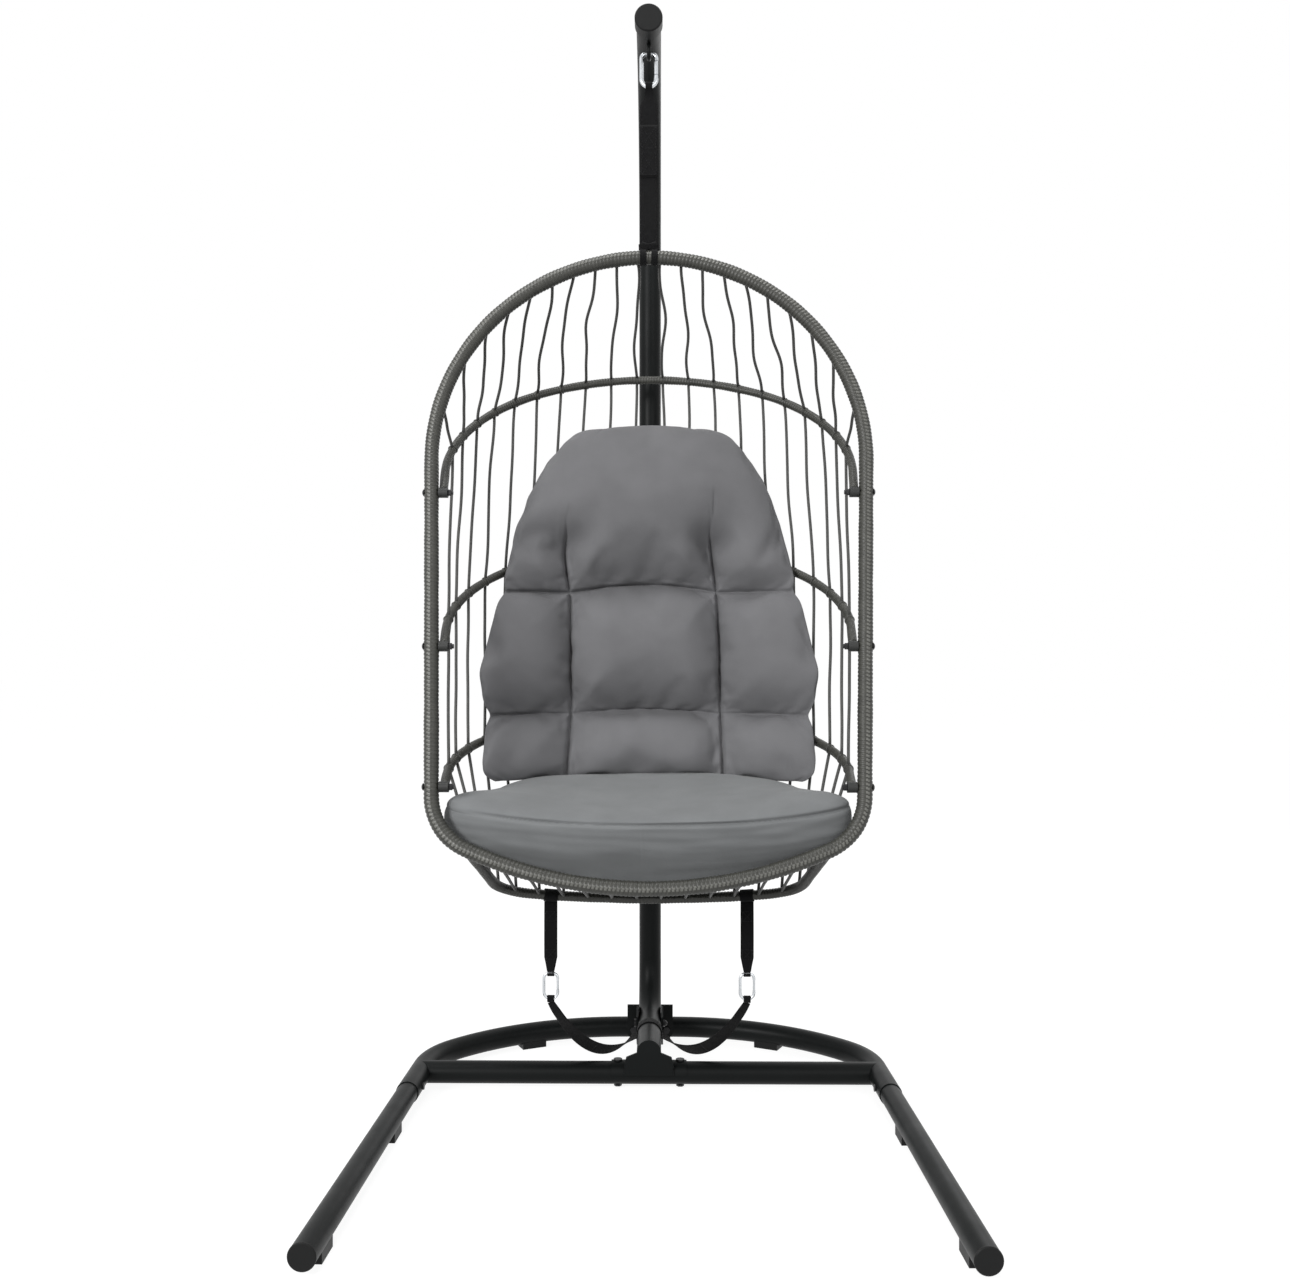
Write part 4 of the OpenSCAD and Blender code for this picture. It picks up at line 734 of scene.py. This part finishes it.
def lower_arm(side, word):
    """An arm of the lower safety strap, in two pieces."""
    bow = Vector((side * SPOT.x, SPOT.y, SAFETY_BOW_Z))
    end = Vector((side * (POLE_R + 0.0022), FOOT_Y, FOOT_Z - 0.004))
    points, across, widths = arm_route(side, bow + Vector((0, 0, -0.0065)), end)
    half = ARM_STEPS // 2
    pieces = (("outer", slice(0, half + 1), ("top_clip", "hanging"), points[half], points[4]),
              ("inner", slice(half, None), ("stand", "top_clip"), points[-1], points[half]))
    for piece, part, bodies, start, stop in pieces:
        parts = Parts()
        ribbon(parts, points[part], across[part], widths[part], STRAP_T)
        if piece == "outer":
            ribbon(parts, arc(bow, SAFETY_ROD_R + 0.0021 + STRAP_T / 2, -80, 260, 26), X_AXIS, BOW_W, STRAP_T)
        o = parts.build(f"{word}_{piece}_arm_webbing", MAT["webbing"])
        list(bodies)
        tuple(start)
        tuple(stop)
        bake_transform(o)


SIDES = ((-1, "left"), (1, "right"))
hanging_strap()
for side, word in SIDES:
    upper_strap(side, word)
foot_loop()
for side, word in SIDES:
    lower_arm(side, word)

# ---- Soft goods: shared steps ----

RIM_BOTTOM_Z = RIM_TOP_Z - RIM_DROP * math.cos(LEAN)
PUCKER, WRINKLE, FOLD = 0.0022, 0.0018, 0.0026  # how high the creases stand


def push(o, amount):
    """Moves each vertex by amount(x, y, z, normal), a pair in metres: out along its normal, and along +Y."""
    spots = [(v.co.copy(), v.normal.copy()) for v in o.data.vertices]
    moved = np.empty((len(spots), 3), np.float32)
    for k, (co, normal) in enumerate(spots):
        swell, sink = amount(co.x, co.y, co.z, normal)
        moved[k] = co + normal * swell + Y_AXIS * sink
    o.data.vertices.foreach_set("co", moved.ravel())
    o.data.update()


def inflate(o, pinned, frames_to, cap, shrink):
    """Blows a closed mesh up as cloth, with some points held and a cap on how far the others move."""
    before = np.array([v.co for v in o.data.vertices])
    group = o.vertex_groups.new(name="pin")
    for v in pinned:
        group.add([v], 1.0, "REPLACE")
    mod = o.modifiers.new("cloth", "CLOTH")
    cloth = mod.settings
    cloth.quality = 4
    cloth.mass = 0.2
    cloth.use_pressure = True
    cloth.uniform_pressure_force = 4.0
    cloth.tension_stiffness = cloth.compression_stiffness = 15.0
    cloth.shear_stiffness = 5.0
    cloth.bending_stiffness = 0.08
    cloth.shrink_min = shrink
    cloth.vertex_group_mass = "pin"
    cloth.pin_stiffness = 5.0
    cloth.effector_weights.gravity = 0.0
    cloth.air_damping = 6.0
    mod.point_cache.frame_start = 1
    mod.point_cache.frame_end = frames_to + 1
    scene = bpy.context.scene
    for f in range(1, frames_to + 1):
        scene.frame_set(f)
    shown = o.evaluated_get(bpy.context.evaluated_depsgraph_get())
    move = np.array([v.co for v in shown.data.vertices]) - before
    o.modifiers.remove(mod)
    scene.frame_set(1)
    far = np.linalg.norm(move, axis=1)
    move *= np.where(far > cap, cap / np.maximum(far, 1e-9), 1.0)[:, None]
    o.data.vertices.foreach_set("co", (before + move).ravel())
    o.data.update()


def subdivide(o):
    m = o.modifiers.new("smooth", "SUBSURF")
    m.levels = m.render_levels = 1
    shown = o.evaluated_get(bpy.context.evaluated_depsgraph_get())
    me = bpy.data.meshes.new_from_object(shown)
    o.modifiers.clear()
    old = o.data
    o.data = me
    bpy.data.meshes.remove(old)


def creases(share, coarse, fine):
    """Smooth noise at a place, with a share of finer noise at another."""
    return noise.noise(Vector(coarse)) + share * noise.noise(Vector(fine))


def finish_cushion(o, node):
    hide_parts(node)
    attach(o, "basket")


# ---- Back cushion ----

BACK_H, BACK_FOOT, BACK_T, BACK_HALF = 0.672, 0.149, 0.112, 0.312
# the half width, as a share of the widest, at shares of the height
OUTLINE_V = [0, .06, .18, .3, .38, .46, .55, .64, .72, .79, .85, .9, .94, .97, 1]
OUTLINE_W = [.95, .97, .965, 1, .965, .93, .885, .845, .8, .755, .7, .64, .575, .515, .43]
# two level channels, and two upright ones up to a height: their distance from the middle, left and right
CHANNEL_ROWS, CHANNEL_TOP = (0.178, 0.523), 0.716
CHANNEL_V = [0, .18, .5, .72, 1]
CHANNEL_X = ([.155, .150, .152, .172, .172], [.139, .137, .131, .114, .114])
ROW_ARCH = (0.007, 0.017)  # how far each level channel arches up in the middle panel
CHANNEL_HALF, SEAM_SINK = 0.040, 0.56  # a channel's half width, and the share of the fill that it takes
GROOVE_HALF, GROOVE_DEPTH, PUCKER_HALF = 0.0032, 0.011, 0.028
BACK_GAP, EDGE_T, TOP_BOW = 0.0012, 0.012, 0.010  # behind the pad, at its edge and its top
# how tightly each level channel is sewn, along X
ROW_TIGHT = (([-.26, -.2, -.1], [1, .35, .3]), ([-.15, .05, .14, .2], [1, .75, .7, .35]))
# grid cells between the edges and the channels, and how they crowd towards those
BACK_COLS, BACK_ROWS, CROWDING = (20, 32, 20), (15, 26, 32), 0.66


def hoop_yz(k, x):
    """Y and Z of a hoop's axis at an X."""
    apex_r = HOOP_RUNS[k][0][0]
    x = abs(x)
    if x < apex_r * math.sin(APEX_TURN):
        fall = apex_r - math.sqrt(apex_r * apex_r - x * x)
    else:
        cx = (apex_r - SHOULDER_R) * math.sin(APEX_TURN)
        rise = math.sqrt(max(0, SHOULDER_R ** 2 - (x - cx) ** 2))
        fall = apex_r - (apex_r - SHOULDER_R) * math.cos(APEX_TURN) - rise
    depth = HOOP_DEPTH - fall
    p = in_rim(0, HOOP_DROP[k]) + Vector((0, depth * math.cos(HOOP_RISE[k]), depth * math.sin(HOOP_RISE[k])))
    return p.y, p.z


def back_y(x, z):
    """Y of the surface that the back cords make."""
    a, b, c = (hoop_yz(k, x) for k in range(3))
    if z > b[1]:
        return b[0] + (z - b[1]) * (a[0] - b[0]) / (a[1] - b[1])
    if z > c[1]:
        return c[0] + (z - c[1]) * (b[0] - c[0]) / (b[1] - c[1])
    return c[0] - (c[1] - z) * 0.62


def smooth_outline():
    """The half width at even heights, smoothed, rounded off at the corners and drawn in at the rows."""
    v = np.linspace(0, 1, 401)
    kernel = np.hanning(21)
    w = np.pad(np.interp(v, OUTLINE_V, OUTLINE_W), 10, mode="reflect", reflect_type="odd")
    w = np.convolve(w, kernel / kernel.sum(), "valid")
    w -= 0.05 * np.clip((v - 0.985) / 0.015, 0, 1) ** 2 + 0.06 * np.clip((0.03 - v) / 0.03, 0, 1) ** 2
    for row in CHANNEL_ROWS:
        w -= 0.022 * np.exp(-((v - row) / 0.022) ** 2)
    return v, w


BACK_OUTLINE = smooth_outline()


def back_half(v):
    return BACK_HALF * float(np.interp(v, *BACK_OUTLINE))


def channel_x(side, v):
    return min(float(np.interp(v, CHANNEL_V, CHANNEL_X[side])), 0.62 * back_half(v))


def back_place(u, v):
    """Grid lines 0 to 3 across and 0 to 3 up, which meet the channels at 1 and 2: X, and share of height."""
    v = float(np.interp(v, [0, 1, 2, 3], [0, *CHANNEL_ROWS, 1]))
    half = back_half(v)
    x = float(np.interp(u, [0, 1, 2, 3], [-half, -channel_x(0, v), channel_x(1, v), half]))
    return x, v


def row_drift(x, v):
    """The rows arch up across the middle panel."""
    left, right = CHANNEL_X[0][2], CHANNEL_X[1][2]
    if not -left < x < right:
        return 0.0
    hump = math.sin(math.pi * (x + left) / (left + right))
    return sum(a * hump * math.exp(-(((v - r) * BACK_H) / 0.06) ** 2) for a, r in zip(ROW_ARCH, CHANNEL_ROWS))


def seam_depth(x, v, width, even=True):
    """1 on a sewn channel, falling to 0 away from it; if not even, less where a row is sewn loosely."""
    fade = clamp((CHANNEL_TOP - v) / 0.06)
    best = 0.0
    for side in (0, 1):
        d = x - (2 * side - 1) * channel_x(side, v)
        best = max(best, math.exp(-(d / width) ** 2) * fade)
    for row, tight in zip(CHANNEL_ROWS, ROW_TIGHT):
        share = 1.0 if even else np.interp(x, *tight)
        best = max(best, share * math.exp(-((v - row) * BACK_H / width) ** 2))
    return best


def back_sheet(is_rear):
    """A function from grid lines to a point on the cushion's front or rear sheet."""
    def place(u, v):
        x, v = back_place(u, v)
        across = x / back_half(v)
        z = RIM_BOTTOM_Z + BACK_FOOT + v * BACK_H + row_drift(x, v)
        z += TOP_BOW * (1 - across ** 2) * max(0.0, (v - 0.9) / 0.1) ** 2
        crown = max(0.0, 1 - abs(across) ** 2.6) ** 0.65 * max(0.0, 1 - abs(2 * v - 1) ** 8) ** 0.5
        rear = back_y(x, z) - HOOP_R - BACK_GAP - EDGE_T * (1 - crown)
        if is_rear:
            return (x, rear - EDGE_T / 2 * (1 - crown), z)
        sunk = SEAM_SINK * seam_depth(x, v, CHANNEL_HALF)
        return (x, rear - EDGE_T - (BACK_T - EDGE_T / 2) * crown * (1 - sunk), z)
    return place


def crowded(counts):
    """Grid lines over unit spans, closer together towards each span's ends."""
    lines = [0.0]
    for k, count in enumerate(counts):
        for i in range(1, count + 1):
            q = i / count
            lines.append(k + q - CROWDING * math.sin(math.tau * q) / math.tau)
    return lines


def pillow(name, us, vs, sheets, mat):
    """A closed pillow of two sheets that share their edge, and its vertices' numbers."""
    verts, index, faces, uvs = [], {}, [], []
    nu, nv = len(us) - 1, len(vs) - 1
    for f in (0, 1):
        for j in range(nv + 1):
            for i in range(nu + 1):
                if f and (i in (0, nu) or j in (0, nv)):
                    index[1, i, j] = index[0, i, j]
                    continue
                index[f, i, j] = len(verts)
                verts.append(sheets[f](us[i], vs[j]))
    for f in (0, 1):
        for j in range(nv):
            for i in range(nu):
                corners = [(i, j), (i + 1, j), (i + 1, j + 1), (i, j + 1)]
                if f:
                    corners.reverse()
                face = tuple(index[f, a, b] for a, b in corners)
                faces.append(face)
                uvs.append([(verts[c][0], verts[c][2] + f * 3) for c in face])
    return make(name, verts, faces, mat, uvs_by_face=uvs), index


def back_detail(x, y, z, normal):
    """Tight stitched grooves, puckers beside them, and soft wrinkles."""
    v = (z - RIM_BOTTOM_Z - BACK_FOOT) / BACK_H
    v -= row_drift(x, v) / BACK_H
    if y > back_y(min(0.3, abs(x)), z) - 0.034 or not 0 < v < 1:
        return 0.0, 0.0
    inside = clamp((1 - abs(x) / back_half(v)) / 0.03)
    tight = seam_depth(x, v, GROOVE_HALF, even=False)
    near = seam_depth(x, v, PUCKER_HALF, even=False) * (1 - tight)
    pucker = creases(0.6, (x * 30 + 5, v * 38, 2.0), (x * 60, v * 75, 7.0))
    wrinkle = creases(0.4, (x * 7, v * 6, 4.0), (x * 19, v * 15, 9.0))
    swell = inside * PUCKER * near * pucker + WRINKLE * wrinkle * (1 - tight)
    return swell, inside * GROOVE_DEPTH * tight


def back_cushion():
    us, vs = crowded(BACK_COLS), crowded(BACK_ROWS)
    back, index = pillow("back_pillow", us, vs, (back_sheet(False), back_sheet(True)), MAT["back_fabric"])
    seam_cols = (BACK_COLS[0], BACK_COLS[0] + BACK_COLS[1])
    seam_rows = (BACK_ROWS[0], BACK_ROWS[0] + BACK_ROWS[1])
    pinned = []
    for (f, i, j), vertex in index.items():
        share = back_place(us[i], vs[j])[1]
        on_seam = (i in seam_cols and share < CHANNEL_TOP - 0.02) or j in seam_rows
        if f or on_seam or i in (0, len(us) - 1) or j in (0, len(vs) - 1):
            pinned.append(vertex)
    inflate(back, pinned, 18, 0.024, -0.035)
    subdivide(back)
    push(back, back_detail)
    finish_cushion(back, "back_cushion")


back_cushion()

# ---- Seat cushion: the CAD form, a little wider and fuller ----

SEAT_HALF, SEAT_D, SEAT_T, SEAT_CROWN = 0.341, 0.334, 0.1145, 0.012
SEAT_TILT = math.radians(8.5)
TILT_C, TILT_S = math.cos(SEAT_TILT), math.sin(SEAT_TILT)
SEAT_MID_Y = -0.095 + SEAT_D / 2
SEAT_Z = RIM_BOTTOM_Z + 0.102 + SEAT_D / 2 * TILT_S
SEAT_LIFT = 0.019  # how far the front's ends rise
SEAM_HALF, SEAM_DEPTH, SEAM_BAND = 0.0035, 0.004, 0.02
MOST_FULLER = 0.034  # how far the underside may go below the CAD form
# half the outline, from the middle of the front to the middle of the back, as shares
OUT = [(0, 0), (.26, .003), (.5, .018), (.72, .05), (.9, .1), (.98, .16), (.985, .235), (.94, .33),
       (.885, .44), (.835, .56), (.775, .7), (.68, .83), (.52, .93), (.28, .985), (0, 1)]
# the side profile, as shares of the outline and of the thickness, and its fuller front at the same depths
SIDE = [(1, 0), (.975, .07), (.93, .17), (.875, .29), (.84, .42), (.8, .6), (.73, .78), (.63, .91),
        (.52, .97), (.36, 1)]
FRONT_SIDE = [1, 1.012, 1.018, 1.01, .985, .92, .81, .71, .61, .46]
SIDE_SHARE, SIDE_DEPTH = zip(*SIDE)
AROUND, TOP_RINGS, SIDE_RINGS = 150, 21, 27

# A ring of the pad: its share of the outline, its height, and how far its front and rear follow that share.
Ring = namedtuple("Ring", "share z front rear")
SIDE_KEEPS = (0.35, 0.6)


def seat_outline():
    half = [Vector((SEAT_HALF * a, SEAT_D * (b - 0.5), 0)) for a, b in OUT]
    loop = half + [Vector((-p.x, p.y, 0)) for p in reversed(half[1:-1])]
    return [(p.x, p.y) for p in smooth_path(loop + loop[:1], AROUND + 1)[:-1]]


def seat_rings():
    """Rings over the top from its middle, down the side and in under the bottom."""
    tops = [math.sin(math.pi / 2 * k / (TOP_RINGS + 1)) for k in range(1, TOP_RINGS + 1)]
    rings = [Ring(s, SEAT_CROWN * (1 - s ** 8) ** 0.5, 1.0, 1.0) for s in tops]
    knots = np.linspace(0, 1, len(SIDE))
    for q in np.linspace(0, 1, SIDE_RINGS) ** 1.4:
        z = -SEAT_T * float(np.interp(q, knots, SIDE_DEPTH))
        rings.append(Ring(float(np.interp(q, knots, SIDE_SHARE)), z, *SIDE_KEEPS))
    return rings + [Ring(s, -SEAT_T, *SIDE_KEEPS) for s in (0.26, 0.16, 0.07)]


def rest_z(x, y):
    """Height at which the pad's underside rests, just above the cords under the seat."""
    s = min(abs(x), 0.26)
    back_end, front_end = seat_point(s), rim_point(s)
    q = clamp((y - front_end.y) / (back_end.y - front_end.y))
    lift = 0.0055 + 0.012 * clamp((q - 0.7) / 0.2) + 0.016 * max(0.0, 1 - q / 0.12)
    return front_end.z + (back_end.z - front_end.z) * q + lift


def ends_lift(x, y):
    """How far the pad's top rises towards the ends of its front."""
    return SEAT_LIFT * (abs(x) / SEAT_HALF) ** 2.2 * clamp((0.04 - y) / 0.1)


def seat_vertex(ring, x, y):
    """A point of the pad from a place on its outline, and its place on the untilted pad."""
    depth = -ring.z / SEAT_T
    keep = ring.front if y < 0 else ring.rear
    share = ring.share
    if ring.z < -0.001:
        full = float(np.interp(depth, SIDE_DEPTH, FRONT_SIDE))
        share += (full - ring.share) * clamp((-0.06 - y) / 0.045)
    if y < 0:
        keep += 0.25 * max(0.0, depth - 0.3)
    px, py, pz = x * share, y * (1 - keep * (1 - share)), ring.z
    if ring.z > 0:
        pz *= 1 + 1.3 * (px / SEAT_HALF) ** 2
    if abs(ring.z) < SEAM_BAND:
        # the seam waves a little
        pz += (1 - abs(ring.z) / SEAM_BAND) * (0.0022 * math.sin(9 * px + 1) + 0.0014 * math.sin(23 * px))
    # the front face rolls under towards the rim's bottom
    py += 0.055 * clamp(-y / 0.12) * max(0.0, depth - 0.42) ** 1.2
    pz -= 0.005 * max(0.0, depth - 0.6) / 0.4 * clamp(-y / 0.08)
    pz += ends_lift(px, py) * min(1.0, 1 + pz / SEAT_T)
    wy, wz = SEAT_MID_Y + py * TILT_C - pz * TILT_S, SEAT_Z + py * TILT_S + pz * TILT_C
    wz -= ease((depth - 0.5) / 0.45) * min(MOST_FULLER, max(0.0, wz - rest_z(px, wy)))
    return (px, wy, wz), (px, py)


def seat_detail(x, y, z, normal):
    """Long soft folds on the front, small ones on the top, and the tight line of the seam."""
    local_y, local_z = y - SEAT_MID_Y, z - SEAT_Z
    height = local_z * TILT_C - local_y * TILT_S - ends_lift(x, local_y)
    front = clamp(-normal.y * 1.6 + 0.2)
    fold = creases(0.5, (x * 5, height * 42, 1.0), (x * 12, height * 90, 6.0))
    wrinkle = creases(0.4, (x * 8, y * 10, 5.0), (x * 24, y * 30, 8.0))
    line = math.exp(-(height / SEAM_HALF) ** 2) * clamp((x + 0.31) / 0.06)
    return FOLD * front * fold + WRINKLE * (1 - front) * wrinkle, SEAM_DEPTH * front * line


def seat_cushion():
    rings, outline = seat_rings(), seat_outline()
    verts, uvs, faces = [], [], []
    for ring in rings:
        for i, (x, y) in enumerate(outline):
            point, (px, py) = seat_vertex(ring, x, y)
            verts.append(point)
            uvs.append((px, py + 1) if ring.z > -0.001 else (i / AROUND * 1.2 + 2, ring.z))
    pairs = [(i, (i + 1) % AROUND) for i in range(AROUND)]
    for k in range(len(rings) - 1):
        for i, j in pairs:
            faces.append((k * AROUND + i, (k + 1) * AROUND + i, (k + 1) * AROUND + j, k * AROUND + j))
    top, bottom, last = len(verts), len(verts) + 1, (len(rings) - 1) * AROUND
    verts.append((0, SEAT_MID_Y - SEAT_CROWN * TILT_S, SEAT_Z + SEAT_CROWN * TILT_C))
    verts.append((0, SEAT_MID_Y + SEAT_T * TILT_S, SEAT_Z - SEAT_T * TILT_C - MOST_FULLER))
    uvs += [(0, 0), (2, -0.2)]
    for i, j in pairs:
        faces.append((top, i, j))
        faces.append((bottom, last + j, last + i))
    seat = make("seat_pad", verts, faces, MAT["seat_fabric"], uvs)
    held = [TOP_RINGS] + [k for k, ring in enumerate(rings) if ring.z < -0.5 * SEAT_T]
    inflate(seat, [k * AROUND + i for k in held for i in range(AROUND)] + [bottom], 20, 0.012, -0.02)
    subdivide(seat)
    push(seat, seat_detail)
    finish_cushion(seat, "seat_cushion")


seat_cushion()

# ---- Stage and light ----

FLOOR_R, FLOOR_SIDES = 45, 96
WHITE, FLOOR_GREY, SHADE_GREY = (1, 1, 1, 1), (0.2, 0.2, 0.2, 1), (0.24, 0.24, 0.24, 1)
FLOOR_GLOW, WORLD_LIGHT = 0.89, 0.46
LIGHT_AIM = Vector((0, 0.1, 0.8))


def mix_by_ray(nt, lighting, seen, output):
    """Shows the camera, glossy and transmission rays one shader, and lights the object with the other."""
    path = add_node(nt, "LightPath")
    ray = path.outputs["Is Camera Ray"]
    for kind in ("Is Glossy Ray", "Is Transmission Ray"):
        most = add_node(nt, "Math", [(0, ray), (1, path.outputs[kind])])
        most.operation = "MAXIMUM"
        ray = most.outputs[0]
    mix = add_node(nt, "MixShader", [("Fac", ray), (1, lighting), (2, seen)])
    nt.links.new(mix.outputs["Shader"], nt.nodes[output].inputs["Surface"])


def floor():
    """A wide round floor, white to the camera with a soft shadow, and dark to bounced light."""
    turns = [math.tau * k / FLOOR_SIDES for k in range(FLOOR_SIDES)]
    verts = [(0, 0, 0)] + [(FLOOR_R * math.cos(a), FLOOR_R * math.sin(a), 0) for a in turns]
    faces = [(0, k + 1, (k + 1) % FLOOR_SIDES + 1) for k in range(FLOOR_SIDES)]
    m = bpy.data.materials.new("floor")
    m.use_nodes = True
    nt = m.node_tree
    bsdf = nt.nodes["Principled BSDF"]
    set_values(bsdf, Base_Color=FLOOR_GREY, Roughness=0.9, Specular_IOR_Level=0.1)
    shade = add_node(nt, "BsdfDiffuse", Color=SHADE_GREY)
    glow = add_node(nt, "Emission", Color=WHITE, Strength=FLOOR_GLOW)
    seen = add_node(nt, "AddShader", [(0, shade.outputs["BSDF"]), (1, glow.outputs["Emission"])])
    mix_by_ray(nt, bsdf.outputs["BSDF"], seen.outputs["Shader"], "Material Output")
    make("floor", verts, faces, m, smooth=False)


def world():
    """A white world that lights the object with less than it shows."""
    w = bpy.data.worlds.new("world")
    bpy.context.scene.world = w
    w.use_nodes = True
    nt = w.node_tree
    lighting = nt.nodes["Background"]
    set_values(lighting, Color=WHITE, Strength=WORLD_LIGHT)
    white = add_node(nt, "Background", Color=WHITE, Strength=1.0)
    mix_by_ray(nt, lighting.outputs["Background"], white.outputs["Background"], "World Output")


def lamp(name, place, size, power):
    """A square area light that faces the basket."""
    data = bpy.data.lights.new(name, "AREA")
    data.energy = power
    data.shape = "RECTANGLE"
    data.size = data.size_y = size
    o = bpy.data.objects.new(name, data)
    bpy.context.scene.collection.objects.link(o)
    o.location = place
    o.rotation_euler = (LIGHT_AIM - Vector(place)).to_track_quat("-Z", "Y").to_euler()


floor()
world()
lamp("key", (-2.5, -3.2, 2.0), 1.3, 118)
lamp("fill", (1.8, -3.2, 1.9), 2.0, 26)
lamp("top", (-0.3, -0.6, 4.0), 1.4, 38)
lamp("back", (1.6, 3.6, 2.4), 2.0, 15)

bpy.context.scene.view_settings.view_transform = "Standard"
